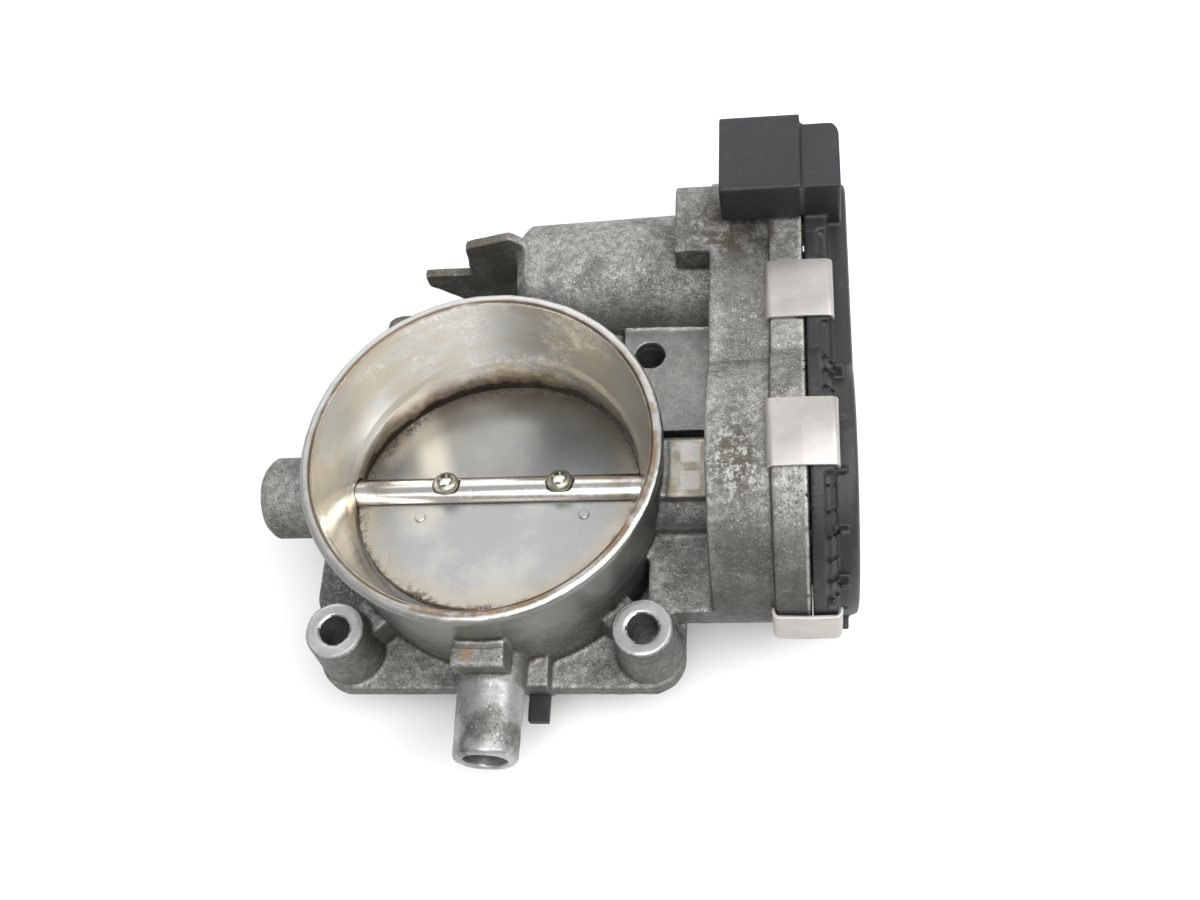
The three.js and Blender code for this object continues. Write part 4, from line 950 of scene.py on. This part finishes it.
def clipTree():
    sockets = [(name, "NodeSocketFloat") for name in clipSizes if name != "edge"]
    tree, inputs = newTree("clipSet", [*sockets, ("Material", "NodeSocketMaterial")])
    foot = mathNode(tree, "SUBTRACT", inputs["Top"], inputs["Leg"])
    middle = mathNode(tree, "ADD", inputs["Left"], inputs["Right"])
    middle = mathNode(tree, "MULTIPLY", middle, 0.5)
    high = mathNode(tree, "ADD", inputs["Top"], inputs["Crown"])
    corners = [
        (inputs["Left"], foot), (inputs["Left"], inputs["Top"]), (middle, high),
        (inputs["Right"], inputs["Top"]), (inputs["Right"], foot),
    ]
    switch = addNode(tree, "GeometryNodeIndexSwitch", data_type="VECTOR")
    while len(switch.index_switch_items) < len(corners):
        switch.index_switch_items.new()
    tree.links.new(addNode(tree, "GeometryNodeInputIndex").outputs[0], switch.inputs[0])
    for i, (x, out) in enumerate(corners):
        point = addNode(tree, "ShaderNodeCombineXYZ", {0: x, 1: out})
        tree.links.new(point.outputs[0], switch.inputs[i + 1])
    points = addNode(tree, "GeometryNodePoints", {"Count": len(corners), "Position": switch.outputs[0]})
    path = addNode(tree, "GeometryNodePointsToCurves", {"Points": points.outputs[0]})
    path = addNode(tree, "GeometryNodeFilletCurve", {
        "Curve": path.outputs[0], "Count": 7, "Radius": inputs["Bend"], "Limit Radius": True,
    }, mode="POLY")
    upright = addNode(tree, "GeometryNodeSetCurveNormal", {"Curve": path.outputs[0]}, mode="Z_UP")
    section = addNode(tree, "GeometryNodeCurvePrimitiveQuadrilateral", {
        "Width": inputs["Thickness"], "Height": inputs["Length"],
    })
    strip = addNode(tree, "GeometryNodeCurveToMesh", {
        "Curve": upright.outputs[0], "Profile Curve": section.outputs[0], "Fill Caps": True,
    })
    gather = addNode(tree, "GeometryNodeJoinGeometry")
    for y, z, angle, reach in clipPlaces:
        turn = math.radians(angle)
        placed = addNode(tree, "GeometryNodeTransform", {
            "Geometry": strip.outputs[0],
            "Translation": (0, y + reach * math.cos(turn), z + reach * math.sin(turn)),
            "Rotation": (turn, 0, 0),
        })
        tree.links.new(placed.outputs[0], gather.inputs[0])
    closeTree(tree, gather.outputs[0], inputs["Material"])
    return tree


def clipPieces():
    mesh = runTree(clipTree(), "springClips", {**clipSizes, "Material": materials["spring_steel"]})
    work = addObject("clipWork", mesh)
    bevel = work.modifiers.new("edges", "BEVEL")
    bevel.width = clipSizes["edge"]
    bevel.segments = 2
    bevel.angle_limit = math.radians(50)
    finished = bakedMesh(work)
    dropObject(work)
    shadeSmooth(finished, 40)
    names = [name for name in nodes if name.startswith("spring_clip")]
    addPiece("springClips", finished, materials["spring_steel"], "spring_steel", *sorted(names))


clipPieces()
print("clips done")


# Cover
coverSizes = {
    "voxel": 0.42 * mm,
    "rounding": 2,
    "triangles": 120000,
    "firstStep": (75.2 * mm, 1.3 * mm),
    "secondStep": (76.7 * mm, 0.1 * mm),
    "end": 77.9 * mm,
    "clipHalf": 8.6 * mm,
    "connectorFront": 53 * mm,
    "connectorBottom": 30 * mm,
    # round faces, as [place along X, radius]
    "rounds": [
        [(72.5 * mm, 33.1 * mm), (75.1 * mm, 33.1 * mm)],
        [(78.3 * mm, 29.1 * mm), (80.6 * mm, 29.1 * mm)],
    ],
    # rows of gussets, as [growth of the drum's radius, place along X, size]
    "gussetRows": [(1.3 * mm, 76.3 * mm, 0.8 * mm), (0.1 * mm, 77.5 * mm, 0.6 * mm)],
    "gussetThickness": 0.5 * mm,
    # stretches of the drum between the clips, as [first angle, last angle, gussets]
    "gussetStretches": [(52, 78, 3), (113, 168, 6), (201, 247, 5), (281, 300, 2)],
    "armRadius": 4.5 * mm,
    "armEnd": (80.9 * mm, 77.39 * mm),
    "armHeight": (44.9 * mm, 58 * mm),
}


# The gear case's outline, grown by an offset
def caseOutline(offset):
    drum = case["drumRadius"] + offset
    top = case["boxTop"] + offset
    bottom = case["boxBottom"] - offset
    rear = case["boxRear"] + offset
    corner = max(case["boxCorner"] + offset, 1 * mm)
    start = math.asin((top - duct["shaftHeight"]) / drum)
    end = 2 * math.pi - math.asin((duct["shaftHeight"] - bottom) / drum)

    def arc(y, z, radius, low, high, steps):
        angles = [low + (high - low) * i / steps for i in range(steps + 1)]
        return [(y + radius * math.cos(a), z + radius * math.sin(a)) for a in angles]

    return [
        *arc(rear - corner, bottom + corner, corner, -math.pi / 2, 0, 8),
        *arc(rear - corner, top - corner, corner, 0, math.pi / 2, 8),
        *arc(0, duct["shaftHeight"], drum, start, end, 96),
    ]


# What cuts a channel round the cover's flange between the clips, down to an offset of the outline
def channelCutter(left, right, floor):
    cutter = addObject("channel", prismMesh("channel", caseOutline(6 * mm), left, right))
    cutWith(cutter, addObject("core", prismMesh("core", caseOutline(floor), left - mm, right + mm)))
    half = coverSizes["clipHalf"]
    for y, z, angle, reach in clipPlaces:
        mesh = boxMesh("clipRoom", (left - mm, reach - 8 * mm, -half), (right + mm, reach + 9 * mm, half))
        mesh.transform(Matrix.Translation((0, y, z)) @ Matrix.Rotation(math.radians(angle), 4, "X"))
        cutWith(cutter, addObject("clipRoom", mesh))
    front, bottom = coverSizes["connectorFront"], coverSizes["connectorBottom"]
    room = boxMesh("connectorRoom", (left - mm, front, bottom), (right + mm, 90 * mm, 60 * mm))
    cutWith(cutter, addObject("connectorRoom", room))
    return cutter


# Small gussets along an arc about the throttle shaft's axis
def gussetTree():
    tree, inputs = newTree("gussets", [
        ("Radius", "NodeSocketFloat"), ("Start", "NodeSocketFloat"), ("Sweep", "NodeSocketFloat"),
        ("Count", "NodeSocketInt"), ("Place", "NodeSocketFloat"), ("Height", "NodeSocketFloat"),
        ("Size", "NodeSocketFloat"), ("Thickness", "NodeSocketFloat"), ("Material", "NodeSocketMaterial"),
    ])
    index = addNode(tree, "GeometryNodeInputIndex").outputs[0]
    last = mathNode(tree, "SUBTRACT", inputs["Count"], 1.0)
    share = mathNode(tree, "DIVIDE", index, last)
    turn = mathNode(tree, "MULTIPLY_ADD", share, inputs["Sweep"], inputs["Start"])
    across = mathNode(tree, "MULTIPLY", mathNode(tree, "COSINE", turn), inputs["Radius"])
    upward = mathNode(tree, "MULTIPLY", mathNode(tree, "SINE", turn), inputs["Radius"])
    height = mathNode(tree, "ADD", upward, inputs["Height"])
    place = addNode(tree, "ShaderNodeCombineXYZ", {0: inputs["Place"], 1: across, 2: height}).outputs[0]
    points = addNode(tree, "GeometryNodePoints", {"Count": inputs["Count"], "Position": place})
    wedge = addNode(tree, "GeometryNodeMeshCylinder", {
        "Vertices": 4, "Radius": inputs["Size"], "Depth": inputs["Thickness"],
    })
    rotation = addNode(tree, "ShaderNodeCombineXYZ", {0: turn})
    copies = addNode(tree, "GeometryNodeInstanceOnPoints", {
        "Points": points.outputs[0], "Instance": wedge.outputs[0], "Rotation": rotation.outputs[0],
    })
    closeTree(tree, copies.outputs[0], inputs["Material"])
    return tree


def gussetMeshes():
    s = coverSizes
    tree = gussetTree()
    meshes = []
    for growth, place, size in s["gussetRows"]:
        for first, last, count in s["gussetStretches"]:
            meshes.append(runTree(tree, "gussetRow", {
                "Radius": case["drumRadius"] + growth, "Start": math.radians(first + 3),
                "Sweep": math.radians(last - first - 6), "Count": count, "Place": place,
                "Height": duct["shaftHeight"], "Size": size, "Thickness": s["gussetThickness"],
                "Material": materials["black_plastic"],
            }))
    return meshes


# What rounds the connector arm's outer rear edge
def armCorner():
    radius = coverSizes["armRadius"]
    x, y = coverSizes["armEnd"]
    low, high = coverSizes["armHeight"]
    block = boxMesh("armCorner", (x - radius, y - radius, low), (x + mm, y + mm, high))
    corner = addObject("armCorner", block)
    margin = 3 * mm
    height = high - low + 2 * margin
    profile = [(0, 0), (radius, 0), (radius, height), (0, height)]
    post = uprightMesh("armPost", profile, (x - radius, y - radius, low - margin), 64)
    cutWith(corner, addObject("armPost", post))
    return corner


def coverPiece():
    s = coverSizes
    work = weldedCopy("coverWork", "cover")
    for step in ("firstStep", "secondStep"):
        left, floor = s[step]
        cutWith(work, channelCutter(left, s["end"], floor))
    cutWith(work, armCorner())
    roundFaces = [(0, (0, duct["shaftHeight"]), profile) for profile in s["rounds"]]
    skin = castMesh(work, "coverSkin", s, roundFaces)
    mesh = joined("gearCover", [skin, *gussetMeshes()])
    addPiece("gearCover", mesh, materials["black_plastic"], "black_plastic", "cover")


coverPiece()
print("cover done")


# Bearing plug and flange seal
plugSizes = {
    "radius": 6.3 * mm,
    # the outer face, as [depth from the end, step in from the radius] in mm
    "face": [(0.4, 0), (0, 0.4), (0, 1.1), (0.4, 1.4), (1.9, 1.8), (2.1, 2.3)],
}
sealSizes = {"voxel": 0.35 * mm, "rounding": 2, "triangles": 30000}


def plugPiece():
    left, right = (corner.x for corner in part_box("bearing_plug"))
    radius, face = plugSizes["radius"], plugSizes["face"]
    profile = [(right, 0), (right, radius)]
    profile += [(left + depth * mm, radius - step * mm) for depth, step in face]
    profile.append((left + face[-1][0] * mm, 0))
    mesh = turnedMesh("bearingPlug", profile, (0, duct["shaftHeight"]))
    shadeSmooth(mesh, 35)
    addPiece("bearingPlug", mesh, materials["zinc_steel"], "shaft_steel", "bearing_plug")


def sealPiece():
    mesh = castMesh(weldedCopy("sealWork", "flange_seal"), "flangeSeal", sealSizes)
    addPiece("flangeSeal", mesh, materials["seal_rubber"], "seal_rubber", "flange_seal")


plugPiece()
sealPiece()


# The pieces inside keep their CAD shapes
slots = {row["node"]: row["material_slot"] for row in frame["record"]["subparts"]}
for nodeName, node in nodes.items():
    node.data.materials.clear()
    node.data.materials.append(materials[slots[nodeName]])
print("materials set on", len(nodes), "nodes")


# Floor, light and camera
studio = {
    "floorDrop": 0.3 * mm,
    "floorColour": (0.93, 0.93, 0.925),
    "cameraPlace": (0.0723, -0.1437, 0.3084),
    "cameraTurn": (28.19, 8.19, 2.66),
    "lens": 42.14,
    "skyLow": 0.24,
    "skyHigh": 0.60,
    # place, target, size and power of each light
    "lights": {
        "highKey": ((0.27, -0.35, 0.95), (0.0, 0.0, 0.02), (1.1, 0.9), 12),
        "rearSoft": ((-0.15, 0.95, 0.70), (0.0, 0.0, 0.02), (1.8, 0.9), 6),
        "rightFill": ((0.75, 0.05, 0.55), (0.02, 0.0, 0.02), (0.4, 0.4), 3),
    },
}


def addFloor():
    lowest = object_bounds()[0][2] - studio["floorDrop"]
    mesh = bmesh.new()
    bmesh.ops.create_grid(mesh, x_segments=1, y_segments=1, size=4)
    bmesh.ops.translate(mesh, vec=(0, 0, lowest), verts=mesh.verts)
    data = bpy.data.meshes.new("floor")
    mesh.to_mesh(data)
    mesh.free()
    floor = addObject("floor", data)
    p = Paint("floorPaper")
    faint = [v * 0.985 for v in studio["floorColour"]]
    shade = p.mix(p.fade(p.noise(12, 3), 0.3, 0.7), studio["floorColour"], faint)
    data.materials.append(p.finish(shade, 0.0, 0.9))


def addLight(name, place, target, size, power):
    light = bpy.data.lights.new(name, "AREA")
    light.shape = "RECTANGLE"
    light.size, light.size_y = size
    light.energy = power
    lamp = bpy.data.objects.new(name, light)
    lamp.location = place
    aim = Vector(target) - Vector(place)
    lamp.rotation_euler = aim.to_track_quat("-Z", "Y").to_euler()
    scene.collection.objects.link(lamp)


# A grey sky, darkest low in front and brightest high behind
def addWorld():
    world = bpy.data.worlds.new("studioSky")
    world.use_nodes = True
    tree = world.node_tree
    tree.nodes.clear()
    direction = addNode(tree, "ShaderNodeTexCoord").outputs["Generated"]
    slope = addNode(tree, "ShaderNodeVectorMath", {0: direction, 1: (0, 0.5, 0.5)}, operation="DOT_PRODUCT")
    shade = addNode(tree, "ShaderNodeMapRange", {
        0: slope.outputs["Value"], 1: -0.3, 2: 0.75, 3: studio["skyLow"], 4: studio["skyHigh"],
    })
    background = addNode(tree, "ShaderNodeBackground", {0: shade.outputs[0]})
    output = addNode(tree, "ShaderNodeOutputWorld")
    tree.links.new(background.outputs[0], output.inputs[0])
    scene.world = world


def addCamera():
    data = bpy.data.cameras.new("camera")
    data.lens = studio["lens"]
    data.sensor_width = 36
    data.clip_start = 0.01
    camera = bpy.data.objects.new("camera", data)
    camera.location = studio["cameraPlace"]
    camera.rotation_euler = [math.radians(turn) for turn in studio["cameraTurn"]]
    scene.collection.objects.link(camera)
    scene.camera = camera


addFloor()
for lightName, settings in studio["lights"].items():
    addLight(lightName, *settings)
addWorld()
addCamera()
scene.view_settings.view_transform = "Standard"
print("studio done")
